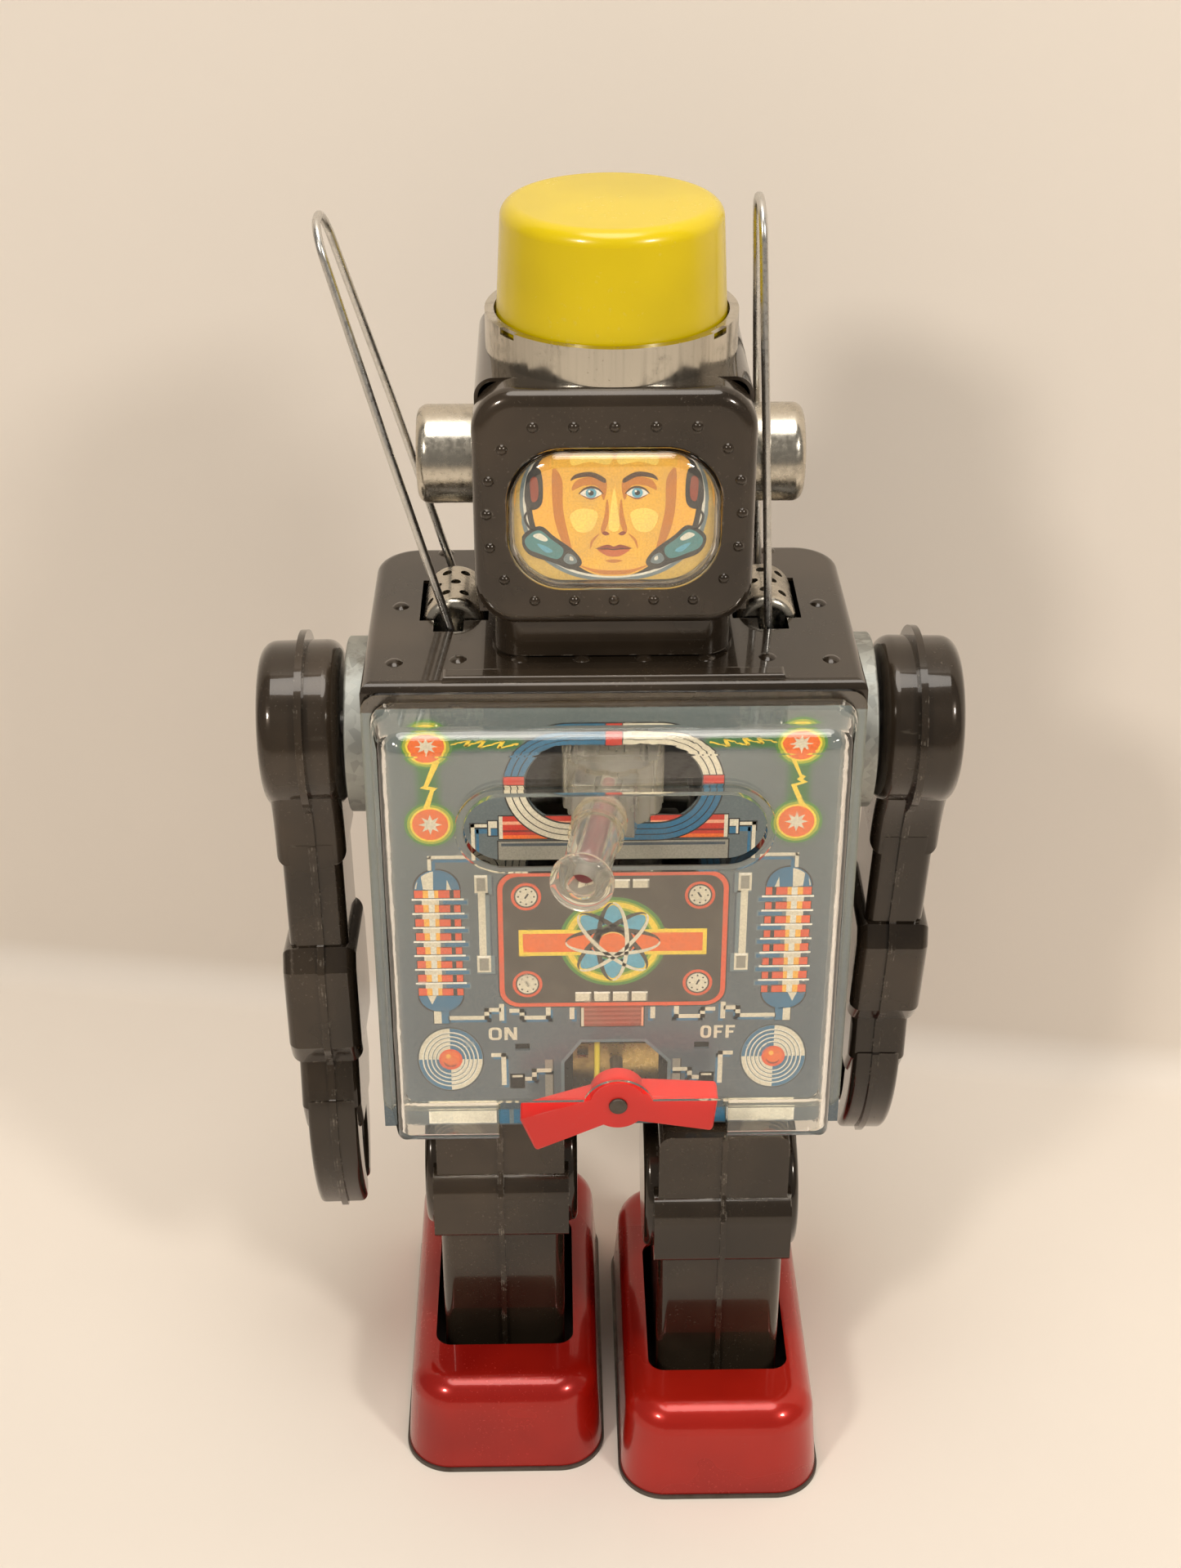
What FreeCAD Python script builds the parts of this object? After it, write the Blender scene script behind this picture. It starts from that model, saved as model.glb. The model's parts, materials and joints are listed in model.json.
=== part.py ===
import FreeCAD, Part
import math
import os

# Battery-operated tin robot, free-standing, arms and legs linked to one crank.
# Millimetres. +Z is up, the robot faces -Y, and its own left side is +X.
# Every piece is laid out about the middle of the tin body (x = 0, y = 0, ground z = 0),
# and save() moves it so that the origin is under the middle of the whole robot.

Vec = FreeCAD.Vector
X_AXIS = Vec(1, 0, 0)
Y_AXIS = Vec(0, 1, 0)
Z_AXIS = Vec(0, 0, 1)
SIDES = (("left", 1), ("right", -1))

# ---- driving dimensions ----
TIN = 0.8                       # wall of every pressed tin part
GAP = 0.05                      # clearance of parts that are pushed into each other
RUN = 0.06                      # radial running clearance of shafts
BODY_W = 106.5
BODY_D = 68.8
BODY_BOTTOM = 95.8
BODY_TOP = 213.2
BODY_CORNER = 10.0              # upright corners at the back
LID_H = 6.2                     # skirt of the top plate
FRONT = -BODY_D / 2             # outer face of the chest plate
BACK = BODY_D / 2
TOTAL_H = 305.0
ORIGIN_SHIFT_Y = 16.26          # body centre behind the middle of the whole robot

HEAD_W = 57.5
HEAD_FRONT = -28.4
HEAD_BACK = 28.4
HEAD_BOTTOM = 223.5
HEAD_TOP = 275.2
TRAY_D = 8.0                    # depth of the head's front tray
WINDOW_W = 44.0
WINDOW_Z = (232.4, 263.4)
WINDOW_R = 12.0
EAR_R = 10.6
EAR_OUT = 41.5
EAR_Y = 6.0
EAR_Z = 248.3

RING_R = 26.2
RING_Z = (HEAD_TOP, 283.0)
DOME_R_LOW = 24.05
DOME_R_TOP = 22.6
DOME_Z = 278.0

COVER_D = 14.0                  # the clear chest cover stands this far off the tin
COVER_WALL = 1.3
COVER_Z = (102.2, 210.0)
COVER_HALF_W = 51.6
COVER_ROUND = 5.0               # front edges at the top and sides
COVER_LOW_ROUND = 2.0           # front edge at the bottom
SLOT_X = 31.8                   # half length of the gun slot in the cover
SLOT_Z = (178.0, 195.0)
NOTCH_X = 26.0
NOTCH_TOP = 113.6
ARCH_R = (8.3, 9.6)             # raised arch over the switch lever

SWITCH_WINDOW = ((-11.0, 105.0), (12.8, 105.0), (12.8, 114.4), (7.4, 120.2), (-7.0, 120.2), (-11.0, 114.4))
TAB_SLOT_X = 20.6
DOOR_X = 33.0
DOOR_Z = (103.0, 170.0)
DOOR_GAP = 0.5
HINGE_Y = BACK - 1.6
HINGE_PIN_R = 0.6
CELL_R = 17.1                   # standard D cell
CELL_H = 61.5
CELL_Z = 106.2
CELL_Y = 16.4
TRAY_Y = (-1.7, BACK - 3.2)
TRAY_X = 36.6

GUN_Y = -28.4                   # upright pivot of the gun
GUN_Z = 187.0
GUN_REACH = 43.7                # pivot to muzzle
GUN_YAW = -10.0                 # rest position, degrees about Z
GUN_PIN_R = 2.0
BARREL_BORE_R = 3.0
LEVER_X = 1.1
LEVER_Z = 111.0
LEVER_Y = (-46.6, -40.4)
LEVER_TILT = -7.5               # rest position, degrees about Y
LEVER_SHAFT_R = 1.5

SHOULDER_Z = 185.1
WASHER_X = (53.4, 58.9)
WASHER_R = 20.0
ARM_SEAM = 68.5                 # plane where the two pressed halves of an arm meet
ARM_SWING = 6.4                 # rest position, degrees
ARM_HANG = 1.3                  # the arm leans in towards the body, degrees
ARM_DRUM_R = 19.2
ARM_DRUM_DEPTH = 9.9
ARM_INNER_SCALE = 0.86          # depth of an inner half over that of an outer one
ARM_SHAFT_R = 3.0
ARM_SHAFT_X = (44.0, ARM_SEAM + 8.4)
SHARP_HOLLOW = 2.0              # the hollow of a stretch with a smaller edge radius keeps sharp edges

LEG_X = 26.6
LEG_Y = -15.0
LEG_OFFSET = 4.8                # one leg is forward and the other back by this much
LEG_TOP = 94.4
KNEE_Z = (58.3, 76.5)
KNEE_HALF_D = 21.8
SHOE_Y = (-57.4, 34.6)
SHOE_HALF_W = 24.4
SHOE_TOP = 25.4
SHOE_OPENING_Y = (-39.6, 6.6)
SHOE_OPENING_X = 17.3
ROLLER_Y = 20.0
ROLLER_R = 5.4
ROLLER_W = 8.0
ROLLER_LIFT = 0.3               # gap between a roller and the ground
ROLLER_AXLE_R = 1.2

ANTENNA_X = 34.5
ANTENNA_AXIS_Z = 210.9
ANTENNA_LEAN = {"left": -2.6, "right": 16.0}    # rest lean outwards, degrees
ANTENNA_LOOP = 90.3
ANTENNA_LUG_Y = (-11.6, 22.8)
WIRE_FOOT_Y = (-8.0, 20.0)
WIRE_R = 0.9
DRUM_Y = (-3.6, 15.6)
DRUM_R = 6.9

LAMP_BASE_R = 5.0
RING_TAB = 1.4

MODULE = 0.5
PINION_TEETH = 12
WHEEL_TEETH = 44
CRANK_TEETH = 48
FACE_W = 2.0
MESH_SLACK = 0.08
CRANK_AT = (LEG_Y, 118.0)       # y and z of the crank axle
CRANK_THROW = 8.0
CRANK_PIN_R = 1.4
CRANK_SHAFT_R = 2.0
CRANK_DISC_X = (20.6, 22.6)
CRANK_PHASE = 0.0
CRANK_WHEEL_X = -10.6
SECOND_WHEEL_X = -13.4
FIRST_WHEEL_X = -16.4
SHAFT_R = 1.2
MOTOR_R = 11.2
MOTOR_SHAFT_R = 1.0
GEARBOX_X = 18.0
PILLARS = ((-29.6, 169.0), (-6.0, 169.0), (-6.2, 138.0), (-6.0, 100.2))
BRACKET_X = (27.4, 28.6)
BRACKET_HALF_Y = 5.0


# ---- helpers ----
def box(x0, x1, y0, y1, z0, z1):
    return Part.makeBox(x1 - x0, y1 - y0, z1 - z0, Vec(x0, y0, z0))


def rod(axis, start, length, r):
    return Part.makeCylinder(r, length, Vec(*start), axis)


def tube(axis, start, length, r_out, r_in):
    return rod(axis, start, length, r_out).cut(rod(axis, start, length, r_in))


def rounded_wire(half_w, half_h, r):
    """A rounded rectangle about the origin in the XY plane."""
    w, h = half_w, half_h
    k = r * (1 - math.sqrt(0.5))
    line = Part.LineSegment
    edges = [line(Vec(-w + r, -h, 0), Vec(w - r, -h, 0)),
             Part.Arc(Vec(w - r, -h, 0), Vec(w - k, -h + k, 0), Vec(w, -h + r, 0)),
             line(Vec(w, -h + r, 0), Vec(w, h - r, 0)),
             Part.Arc(Vec(w, h - r, 0), Vec(w - k, h - k, 0), Vec(w - r, h, 0)),
             line(Vec(w - r, h, 0), Vec(-w + r, h, 0)),
             Part.Arc(Vec(-w + r, h, 0), Vec(-w + k, h - k, 0), Vec(-w, h - r, 0)),
             line(Vec(-w, h - r, 0), Vec(-w, -h + r, 0)),
             Part.Arc(Vec(-w, -h + r, 0), Vec(-w + k, -h + k, 0), Vec(-w + r, -h, 0))]
    return Part.Wire([e.toShape() for e in edges])


def pad_z(half_w, half_d, r, z0, z1, cx=0.0, cy=0.0):
    """A rounded rectangle standing on z0."""
    face = Part.Face(rounded_wire(half_w, half_d, r))
    face.translate(Vec(cx, cy, z0))
    return face.extrude(Vec(0, 0, z1 - z0))


def pad_y(half_w, z0, z1, r, y0, y1, cx=0.0):
    """A rounded rectangle in the XZ plane, from y0 back to y1."""
    face = Part.Face(rounded_wire(half_w, (z1 - z0) / 2, r))
    face.rotate(Vec(0, 0, 0), X_AXIS, 90)
    face.translate(Vec(cx, y0, (z0 + z1) / 2))
    return face.extrude(Vec(0, y1 - y0, 0))


def polygon_x(points, x0, x1):
    """A prism along X from points (y, z)."""
    corners = [Vec(x0, y, z) for y, z in points]
    face = Part.Face(Part.makePolygon(corners + corners[:1]))
    return face.extrude(Vec(x1 - x0, 0, 0))


def round_edges(shape, r, keep, keep_middle=None):
    """Fillet the edges whose ends satisfy keep(point) and whose middle satisfies both tests."""
    chosen = []
    for edge in shape.Edges:
        middle = edge.valueAt((edge.FirstParameter + edge.LastParameter) / 2)
        if keep_middle and not keep_middle(middle):
            continue
        if keep(middle) and all(keep(v.Point) for v in edge.Vertexes):
            chosen.append(edge)
    return shape.makeFillet(r, chosen)


def near(value, target):
    return abs(value - target) < 0.02


def fuse(shapes):
    whole = shapes[0].fuse(shapes[1:]) if len(shapes) > 1 else shapes[0]
    return whole.removeSplitter()


def mirrored(shape, sign):
    if sign > 0:
        return shape
    return shape.mirror(Vec(0, 0, 0), X_AXIS)


def turned(shape, point, axis, angle):
    copy = shape.copy()
    copy.rotate(Vec(*point), axis, angle)
    return copy


def save(name, shape):
    shape = shape.copy()
    shape.translate(Vec(0, ORIGIN_SHIFT_Y, 0))
    shape.exportStep("parts/" + name + ".step")


# ---- tin body ----
def back_rounded(half_w, y0, y1, r, z0, z1):
    """A box whose two back corners are rounded."""
    round_part = pad_z(half_w, (y1 - y0) / 2, r, z0, z1, 0, (y0 + y1) / 2)
    return fuse([round_part, box(-half_w, half_w, y0, y1 - r, z0, z1)])


def body_wrap():
    half = BODY_W / 2
    low, high = BODY_BOTTOM, BODY_TOP - LID_H
    wrap = back_rounded(half, FRONT + TIN, BACK, BODY_CORNER, low, high)
    inside = back_rounded(half - TIN, FRONT + TIN - 1, BACK - TIN, BODY_CORNER - TIN, low - 1, high + 1)
    wrap = wrap.cut(inside)
    wrap = wrap.cut(box(-DOOR_X - DOOR_GAP, DOOR_X + DOOR_GAP, BACK - 2, BACK + 1,
                        DOOR_Z[0] - 2.2, DOOR_Z[1] + DOOR_GAP))
    shaft_hole = rod(X_AXIS, (-half - 1, 0, SHOULDER_Z), BODY_W + 2, ARM_SHAFT_R + RUN)
    return wrap.cut(shaft_hole)


def rivet_heads(places, normal, r, height):
    """Domed heads standing on the points of places."""
    ball_r = (r * r + height * height) / (2 * height)
    heads = []
    for place in places:
        centre = Vec(*place) - normal * (ball_r - height)
        heads.append(Part.makeSphere(ball_r, centre))
    return heads


def top_plate():
    half = BODY_W / 2
    low = BODY_TOP - LID_H
    lid = back_rounded(half, FRONT, BACK, BODY_CORNER, low, BODY_TOP)
    lid = round_edges(lid, 2.2, lambda p: near(p.z, BODY_TOP))
    inside = back_rounded(half - TIN, FRONT + TIN, BACK - TIN, BODY_CORNER - TIN, low - 1, BODY_TOP - TIN)
    inside = round_edges(inside, 1.4, lambda p: near(p.z, BODY_TOP - TIN))
    ridge = box(-36.0, 36.0, FRONT + 1.2, FRONT + 5.6, BODY_TOP - 0.4, BODY_TOP + 1.2)
    ridge = round_edges(ridge, 0.9, lambda p: near(p.z, BODY_TOP + 1.2))
    places = [(x, -22.7, BODY_TOP) for x in (-33.0, -19.8, -6.6, 6.6, 19.8, 33.0)]
    places += [(s * 46.5, y, BODY_TOP) for s in (-1, 1) for y in (-24.0, 3.0)]
    places += [(x, 31.0, BODY_TOP) for x in (-37.5, 37.5)]
    lid = fuse([lid, ridge] + rivet_heads(places, Z_AXIS, 1.9, 0.8)).cut(inside)
    lugs = []
    for _, s in SIDES:
        for y in ANTENNA_LUG_Y:
            lugs.append(box(s * ANTENNA_X - 3.2, s * ANTENNA_X + 3.2, y, y + TIN,
                            ANTENNA_AXIS_Z - 3.0, BODY_TOP - TIN + 0.2))
    lid = fuse([lid] + lugs)
    for _, s in SIDES:
        x = s * ANTENNA_X
        lid = lid.cut(box(x - 7.6, x + 7.6, DRUM_Y[0] - 0.6, DRUM_Y[1] + 0.6, BODY_TOP - 2, BODY_TOP + 3))
        x0, x1 = sorted((x - s * 2.2, x + s * 4.4))
        lid = lid.cut(box(x0, x1, WIRE_FOOT_Y[0] - 1.6, WIRE_FOOT_Y[1] + 1.6, BODY_TOP - 2, BODY_TOP + 3))
        lid = lid.cut(rod(Y_AXIS, (x, ANTENNA_LUG_Y[0] - 1, ANTENNA_AXIS_Z), 60, WIRE_R + RUN))
    return lid


def bottom_plate():
    half = BODY_W / 2 - TIN - GAP
    plate = back_rounded(half, FRONT + TIN + GAP, BACK - TIN - GAP, BODY_CORNER - TIN - GAP,
                         BODY_BOTTOM, BODY_BOTTOM + TIN)
    reach = BRACKET_HALF_Y + CRANK_THROW + 1.2
    for _, s in SIDES:
        x0, x1 = sorted((s * (BRACKET_X[0] - 0.8), s * (BRACKET_X[1] + 0.8)))
        plate = plate.cut(box(x0, x1, LEG_Y - reach, LEG_Y + reach, BODY_BOTTOM - 1, BODY_BOTTOM + 2))
    return plate


def chest_plate():
    half = BODY_W / 2
    low, high = BODY_BOTTOM, BODY_TOP - LID_H
    plate = box(-half, half, FRONT, FRONT + TIN - GAP, low, high - GAP)
    plate = plate.cut(pad_y(19.0, GUN_Z - 7.7, GUN_Z + 11.9, 9.7, FRONT - 1, FRONT + 2))
    corners = [Vec(x, FRONT - 1, z) for x, z in SWITCH_WINDOW]
    window = Part.Face(Part.makePolygon(corners + corners[:1])).extrude(Vec(0, 3, 0))
    plate = plate.cut(window)
    for x in (-TAB_SLOT_X, TAB_SLOT_X):
        plate = plate.cut(box(x - 1.7, x + 1.7, FRONT - 1, FRONT + 2, 118.0, 120.0))
    return plate


def cover_form(inset, y_back, y_front):
    """The cover's block, narrowing forwards, made smaller all round by inset; its bottom stays square."""
    low, high = COVER_Z[0] - 12.0, COVER_Z[1]
    rims = []
    for y, narrow in ((y_back, 0.0), (y_front, 3.0)):
        half_h = (high - narrow * 0.6 - low) / 2 - inset
        wire = rounded_wire(COVER_HALF_W - narrow - inset, half_h, COVER_ROUND - inset)
        wire.rotate(Vec(0, 0, 0), X_AXIS, 90)
        wire.translate(Vec(0, y, (high - narrow * 0.6 + low) / 2))
        rims.append(wire)
    form = Part.makeLoft(rims, True, True)
    form = round_edges(form, COVER_ROUND - inset, lambda p: near(p.y, y_front))
    block = box(-60, 60, y_front, y_back, COVER_Z[0] + inset, high + 5)
    block = round_edges(block, COVER_LOW_ROUND - inset,
                        lambda p: near(p.y, y_front) and near(p.z, COVER_Z[0] + inset))
    return form.common(block)


def chest_cover():
    y_front = FRONT - COVER_D
    slot_r = (SLOT_Z[1] - SLOT_Z[0]) / 2
    cover = cover_form(0.0, FRONT - GAP, y_front)
    cover = cover.cut(cover_form(COVER_WALL, FRONT + 1, y_front + COVER_WALL))
    flange = pad_y(COVER_HALF_W + 1.6, COVER_Z[0] - 1.5, COVER_Z[1] + 1.6, 4.0,
                   FRONT - GAP - 1.0, FRONT - GAP)
    flange = flange.cut(pad_y(COVER_HALF_W - COVER_WALL, COVER_Z[0] + COVER_WALL, COVER_Z[1] - COVER_WALL,
                              COVER_ROUND - COVER_WALL, FRONT - 3, FRONT + 1))
    rim = pad_y(SLOT_X + 1.8, SLOT_Z[0] - 1.8, SLOT_Z[1] + 1.8, slot_r + 1.7, y_front - 1.2, y_front + 1.0)
    slot = pad_y(SLOT_X, SLOT_Z[0], SLOT_Z[1], slot_r - 0.05, y_front - 3, y_front + 4)
    arch_outer = rod(Y_AXIS, (LEVER_X, y_front, LEVER_Z), COVER_WALL, ARCH_R[1])
    arch_outer = arch_outer.common(box(-20, 20, y_front - 1, FRONT, NOTCH_TOP - 2, LEVER_Z + 12))
    arch_inner = rod(Y_AXIS, (LEVER_X, y_front - 1, LEVER_Z), 8, ARCH_R[0])
    notch = box(-NOTCH_X, NOTCH_X, y_front - 4, FRONT + 2, COVER_Z[0] - 6, NOTCH_TOP)
    cover = fuse([cover, flange, rim, arch_outer])
    return cover.cut(slot).cut(notch).cut(arch_inner)


def battery_door():
    door = box(-DOOR_X, DOOR_X, BACK - TIN, BACK, DOOR_Z[0], DOOR_Z[1])
    knuckle = rod(X_AXIS, (-DOOR_X, HINGE_Y, DOOR_Z[0]), 2 * DOOR_X, 1.1)
    pins = rod(X_AXIS, (-DOOR_X - 2.2, HINGE_Y, DOOR_Z[0]), 2 * DOOR_X + 4.4, HINGE_PIN_R)
    catch = box(-7, 7, BACK - 4.2, BACK - TIN, DOOR_Z[1] - 4.4, DOOR_Z[1] - 3.6)
    return fuse([door, knuckle, pins, catch])


def battery_tray():
    low, high = DOOR_Z[0] - 2.0, DOOR_Z[1] + 1.4
    tray = box(-TRAY_X, TRAY_X, TRAY_Y[0], TRAY_Y[1], low, high)
    tray = tray.cut(box(-TRAY_X + TIN, TRAY_X - TIN, TRAY_Y[0] + TIN, TRAY_Y[1] + 1, low + TIN, high - TIN))
    ears = []
    for s in (-1, 1):
        x0, x1 = sorted((s * (DOOR_X + 0.3), s * (DOOR_X + 1.2)))
        ears.append(box(x0, x1, TRAY_Y[1] - 1.5, BACK - TIN - 0.1, low + TIN, low + 4.2))
        foot_x = sorted((s * (DOOR_X + 0.3), s * TRAY_X))
        ears.append(box(*foot_x, TRAY_Y[1] - 1.5, TRAY_Y[1], low, low + 4.2))
    tray = fuse([tray] + ears)
    return tray.cut(rod(X_AXIS, (-DOOR_X - 3, HINGE_Y, DOOR_Z[0]), 2 * DOOR_X + 6, HINGE_PIN_R + RUN))


def battery_cells():
    cells = []
    for s in (-1, 1):
        can = rod(Z_AXIS, (s * (CELL_R + 0.4), CELL_Y, CELL_Z), CELL_H - 2.0, CELL_R - 0.1)
        can = round_edges(can, 1.2, lambda p: True)
        knob = rod(Z_AXIS, (s * (CELL_R + 0.4), CELL_Y, CELL_Z + CELL_H - 2.1), 2.0, 4.6)
        cell = fuse([can, knob])
        if s > 0:
            cell = turned(cell, (0, CELL_Y, CELL_Z + CELL_H / 2), X_AXIS, 180)
            cell.translate(Vec(0, 0, -0.1))
        cells.append(cell)
    return Part.makeCompound(cells)


def battery_contacts():
    low = DOOR_Z[0] - 2.0 + TIN
    high = DOOR_Z[1] + 1.4 - TIN
    cell_x = CELL_R + 0.4
    springs = [Part.makeCone(7.0, 4.4, CELL_Z - 0.2 - low - 0.6, Vec(-cell_x, CELL_Y, low + 0.6)),
               rod(Z_AXIS, (cell_x, CELL_Y, low + 0.6), CELL_Z - 0.4 - low - 0.6, 5.0)]
    bridge = fuse([box(-24, 24, CELL_Y - 5, CELL_Y + 5, low, low + 0.6)] + springs)
    ends = []
    gap = high - 0.6 - CELL_Z - CELL_H
    for s in (-1, 1):
        strip = box(s * cell_x - 6, s * cell_x + 6, CELL_Y - 5, CELL_Y + 5, high - 0.6, high)
        nib = rod(Z_AXIS, (s * cell_x, CELL_Y, high - 0.6 - gap + 0.2), gap - 0.2, 3.0)
        ends.append(fuse([strip, nib]))
    return Part.makeCompound([bridge] + ends)


# ---- head ----
def neck_collar():
    neck = pad_z(25.0, 23.0, 6.0, BODY_TOP + 0.85, HEAD_BOTTOM)
    neck = neck.cut(pad_z(25.0 - TIN, 23.0 - TIN, 6.0 - TIN, BODY_TOP + 0.85 + TIN, HEAD_BOTTOM + 1))
    foot = pad_z(25.8, 20.6, 6.0, BODY_TOP, BODY_TOP + 0.85)
    return fuse([neck, foot])


def head_shell():
    y0, y1 = HEAD_FRONT + TRAY_D, HEAD_BACK
    half = HEAD_W / 2 - 0.6
    shell = back_rounded(half, y0, y1, 7.0, HEAD_BOTTOM, HEAD_TOP)
    shell = round_edges(shell, 4.0, lambda p: near(p.z, HEAD_TOP), lambda p: p.y > y0 + 0.5)
    inside = back_rounded(half - TIN, y0 - 1, y1 - TIN, 7.0 - TIN, HEAD_BOTTOM + TIN, HEAD_TOP - TIN)
    inside = round_edges(inside, 3.2, lambda p: near(p.z, HEAD_TOP - TIN), lambda p: p.y > y0)
    shell = shell.cut(inside)
    shell = shell.cut(rod(Z_AXIS, (0, 0, HEAD_TOP - 3), 6, LAMP_BASE_R + 0.3))
    return shell


def window_pad(grow, y0, y1):
    return pad_y(WINDOW_W / 2 + grow, WINDOW_Z[0] - grow, WINDOW_Z[1] + grow, WINDOW_R + grow, y0, y1)


def head_front():
    tray = pad_y(HEAD_W / 2, HEAD_BOTTOM, HEAD_TOP, 9.0, HEAD_FRONT, HEAD_FRONT + TRAY_D - GAP)
    tray = round_edges(tray, 3.2, lambda p: near(p.y, HEAD_FRONT))
    inside = pad_y(HEAD_W / 2 - TIN, HEAD_BOTTOM + TIN, HEAD_TOP - TIN, 9.0 - TIN,
                   HEAD_FRONT + TIN, HEAD_FRONT + TRAY_D + 1)
    inside = round_edges(inside, 2.4, lambda p: near(p.y, HEAD_FRONT + TIN))
    rows = [(x, z) for x in (-16.4, -8.2, 0.0, 8.2, 16.4) for z in (229.6, 267.7)]
    sides = [(s * x, z) for s in (-1, 1) for x, z in
             ((22.6, 263.0), (25.4, 256.2), (25.9, 249.0), (25.4, 241.6), (22.6, 234.4))]
    heads = rivet_heads([(x, HEAD_FRONT, z) for x, z in rows + sides], Vec(0, -1, 0), 1.15, 0.7)
    return fuse([tray] + heads).cut(inside).cut(window_pad(0.0, HEAD_FRONT - 2, HEAD_FRONT + 3))


def visor():
    bulge = 3.2
    outer = window_pad(-GAP, HEAD_FRONT - bulge, HEAD_FRONT + TIN + GAP)
    outer = round_edges(outer, 3.0, lambda p: near(p.y, HEAD_FRONT - bulge))
    flange = window_pad(1.3, HEAD_FRONT + TIN + GAP, HEAD_FRONT + TIN + 0.8)
    inner = window_pad(-1.2, HEAD_FRONT - bulge + 1.1, HEAD_FRONT + 3)
    inner = round_edges(inner, 2.0, lambda p: near(p.y, HEAD_FRONT - bulge + 1.1))
    return fuse([outer, flange]).cut(inner)


def face_card():
    return window_pad(2.0, HEAD_FRONT + 3.4, HEAD_FRONT + 3.9)


def ear():
    start = HEAD_W / 2 - 0.6
    length = EAR_OUT - start
    cap = rod(X_AXIS, (start, EAR_Y, EAR_Z), length, EAR_R)
    cap = round_edges(cap, 2.4, lambda p: near(p.x, EAR_OUT))
    hollow = rod(X_AXIS, (start - 1, EAR_Y, EAR_Z), length + 1 - TIN, EAR_R - TIN)
    return cap.cut(hollow)


def dome_ring():
    low, high = RING_Z
    ring = tube(Z_AXIS, (0, 0, low), high - low, RING_R, RING_R - TIN)
    floor = tube(Z_AXIS, (0, 0, low), TIN, RING_R, 15.0)
    lip = tube(Z_AXIS, (0, 0, high - TIN), TIN, RING_R, DOME_R_LOW + 0.25)
    ring = fuse([ring, floor, lip])
    for angle in (35, 145, 215, 325):
        notch = box(RING_R - 1.0, RING_R + 1, -2.4, 2.4, high - RING_TAB, high + 1)
        ring = ring.cut(turned(notch, (0, 0, 0), Z_AXIS, angle))
    return ring


def dome_form(inset):
    cone = Part.makeCone(DOME_R_LOW - inset, DOME_R_TOP - inset, TOTAL_H - DOME_Z - inset, Vec(0, 0, DOME_Z))
    return round_edges(cone, 3.2 - inset * 0.8, lambda p: near(p.z, TOTAL_H - inset))


def dome_lens():
    dome = dome_form(0.0).cut(dome_form(1.2))
    foot = tube(Z_AXIS, (0, 0, DOME_Z), 1.2, RING_R - TIN - 0.2, DOME_R_LOW - 1.2)
    return fuse([dome, foot])


def dome_lamp():
    base = rod(Z_AXIS, (0, 0, HEAD_TOP - 6), 13, LAMP_BASE_R)
    collar = rod(Z_AXIS, (0, 0, HEAD_TOP), 1.2, LAMP_BASE_R + 3)
    glass = Part.makeSphere(5.6, Vec(0, 0, HEAD_TOP + 11.5))
    return fuse([base, collar, glass])


# ---- antennas ----
def wire_path(points, bend_r):
    """Straight runs through the points, joined by tangent arcs of bend_r."""
    pts = [Vec(*p) for p in points]
    radii = bend_r if isinstance(bend_r, (list, tuple)) else [bend_r] * (len(pts) - 2)
    edges = []
    last = pts[0]
    for i in range(1, len(pts) - 1):
        back = (pts[i - 1] - pts[i]).normalize()
        ahead = (pts[i + 1] - pts[i]).normalize()
        half = back.getAngle(ahead) / 2
        reach = radii[i - 1] / math.tan(half)
        a = pts[i] + back * reach
        b = pts[i] + ahead * reach
        centre = pts[i] + (back + ahead).normalize() * (radii[i - 1] / math.sin(half))
        mid = centre + (pts[i] - centre).normalize() * radii[i - 1]
        if (a - last).Length > 1e-6:
            edges.append(Part.LineSegment(last, a).toShape())
        edges.append(Part.Arc(a, mid, b).toShape())
        last = b
    edges.append(Part.LineSegment(last, pts[-1]).toShape())
    return Part.Wire(edges)


def swept_rod(points, bend_r, r):
    path = wire_path(points, bend_r)
    start = Vec(*points[0])
    heading = Vec(*points[1]) - start
    ring = Part.Wire([Part.makeCircle(r, start, heading)])
    return path.makePipeShell([ring], True, False)


def antenna_wire(s):
    """The hairpin loop, upright over its pivot; its feet turn out into the lugs."""
    x, z = s * ANTENNA_X, ANTENNA_AXIS_Z
    mid = (WIRE_FOOT_Y[0] + WIRE_FOOT_Y[1]) / 2
    ends = (ANTENNA_LUG_Y[0] - 1.0, ANTENNA_LUG_Y[1] + TIN + 1.0)
    top = z + ANTENNA_LOOP + 2.2
    side = [(x, mid + 12.4, z + 45.0), (x, mid + 7.6, top)]
    up = [(x, ends[0], z), (x, WIRE_FOOT_Y[0], z)]
    up += [(px, 2 * mid - py, pz) for px, py, pz in side]
    down = side[::-1] + [(x, WIRE_FOOT_Y[1], z), (x, ends[1], z)]
    bends = [1.6, 60.0, 7.2, 7.2, 60.0, 1.6]
    return swept_rod(up + down, bends, WIRE_R)


def antenna_drum(s):
    x, z = s * ANTENNA_X, ANTENNA_AXIS_Z
    length = DRUM_Y[1] - DRUM_Y[0]
    drum = rod(Y_AXIS, (x, DRUM_Y[0], z), length, DRUM_R)
    drum = round_edges(drum, 2.0, lambda p: True)
    axle_start = WIRE_FOOT_Y[0] + WIRE_R + 0.02
    axle_end = WIRE_FOOT_Y[1] - WIRE_R - 0.02
    axle = rod(Y_AXIS, (x, axle_start, z), axle_end - axle_start, 1.3)
    for y, angles in ((1.0, (-35, 0, 35)), (6.0, (-18, 18)), (11.0, (-35, 0, 35))):
        for angle in angles:
            hole = rod(Z_AXIS, (x, y, z + 4.6), 4, 1.1)
            drum = drum.cut(turned(hole, (x, y, z), Y_AXIS, angle))
    return fuse([drum, axle])


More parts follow.
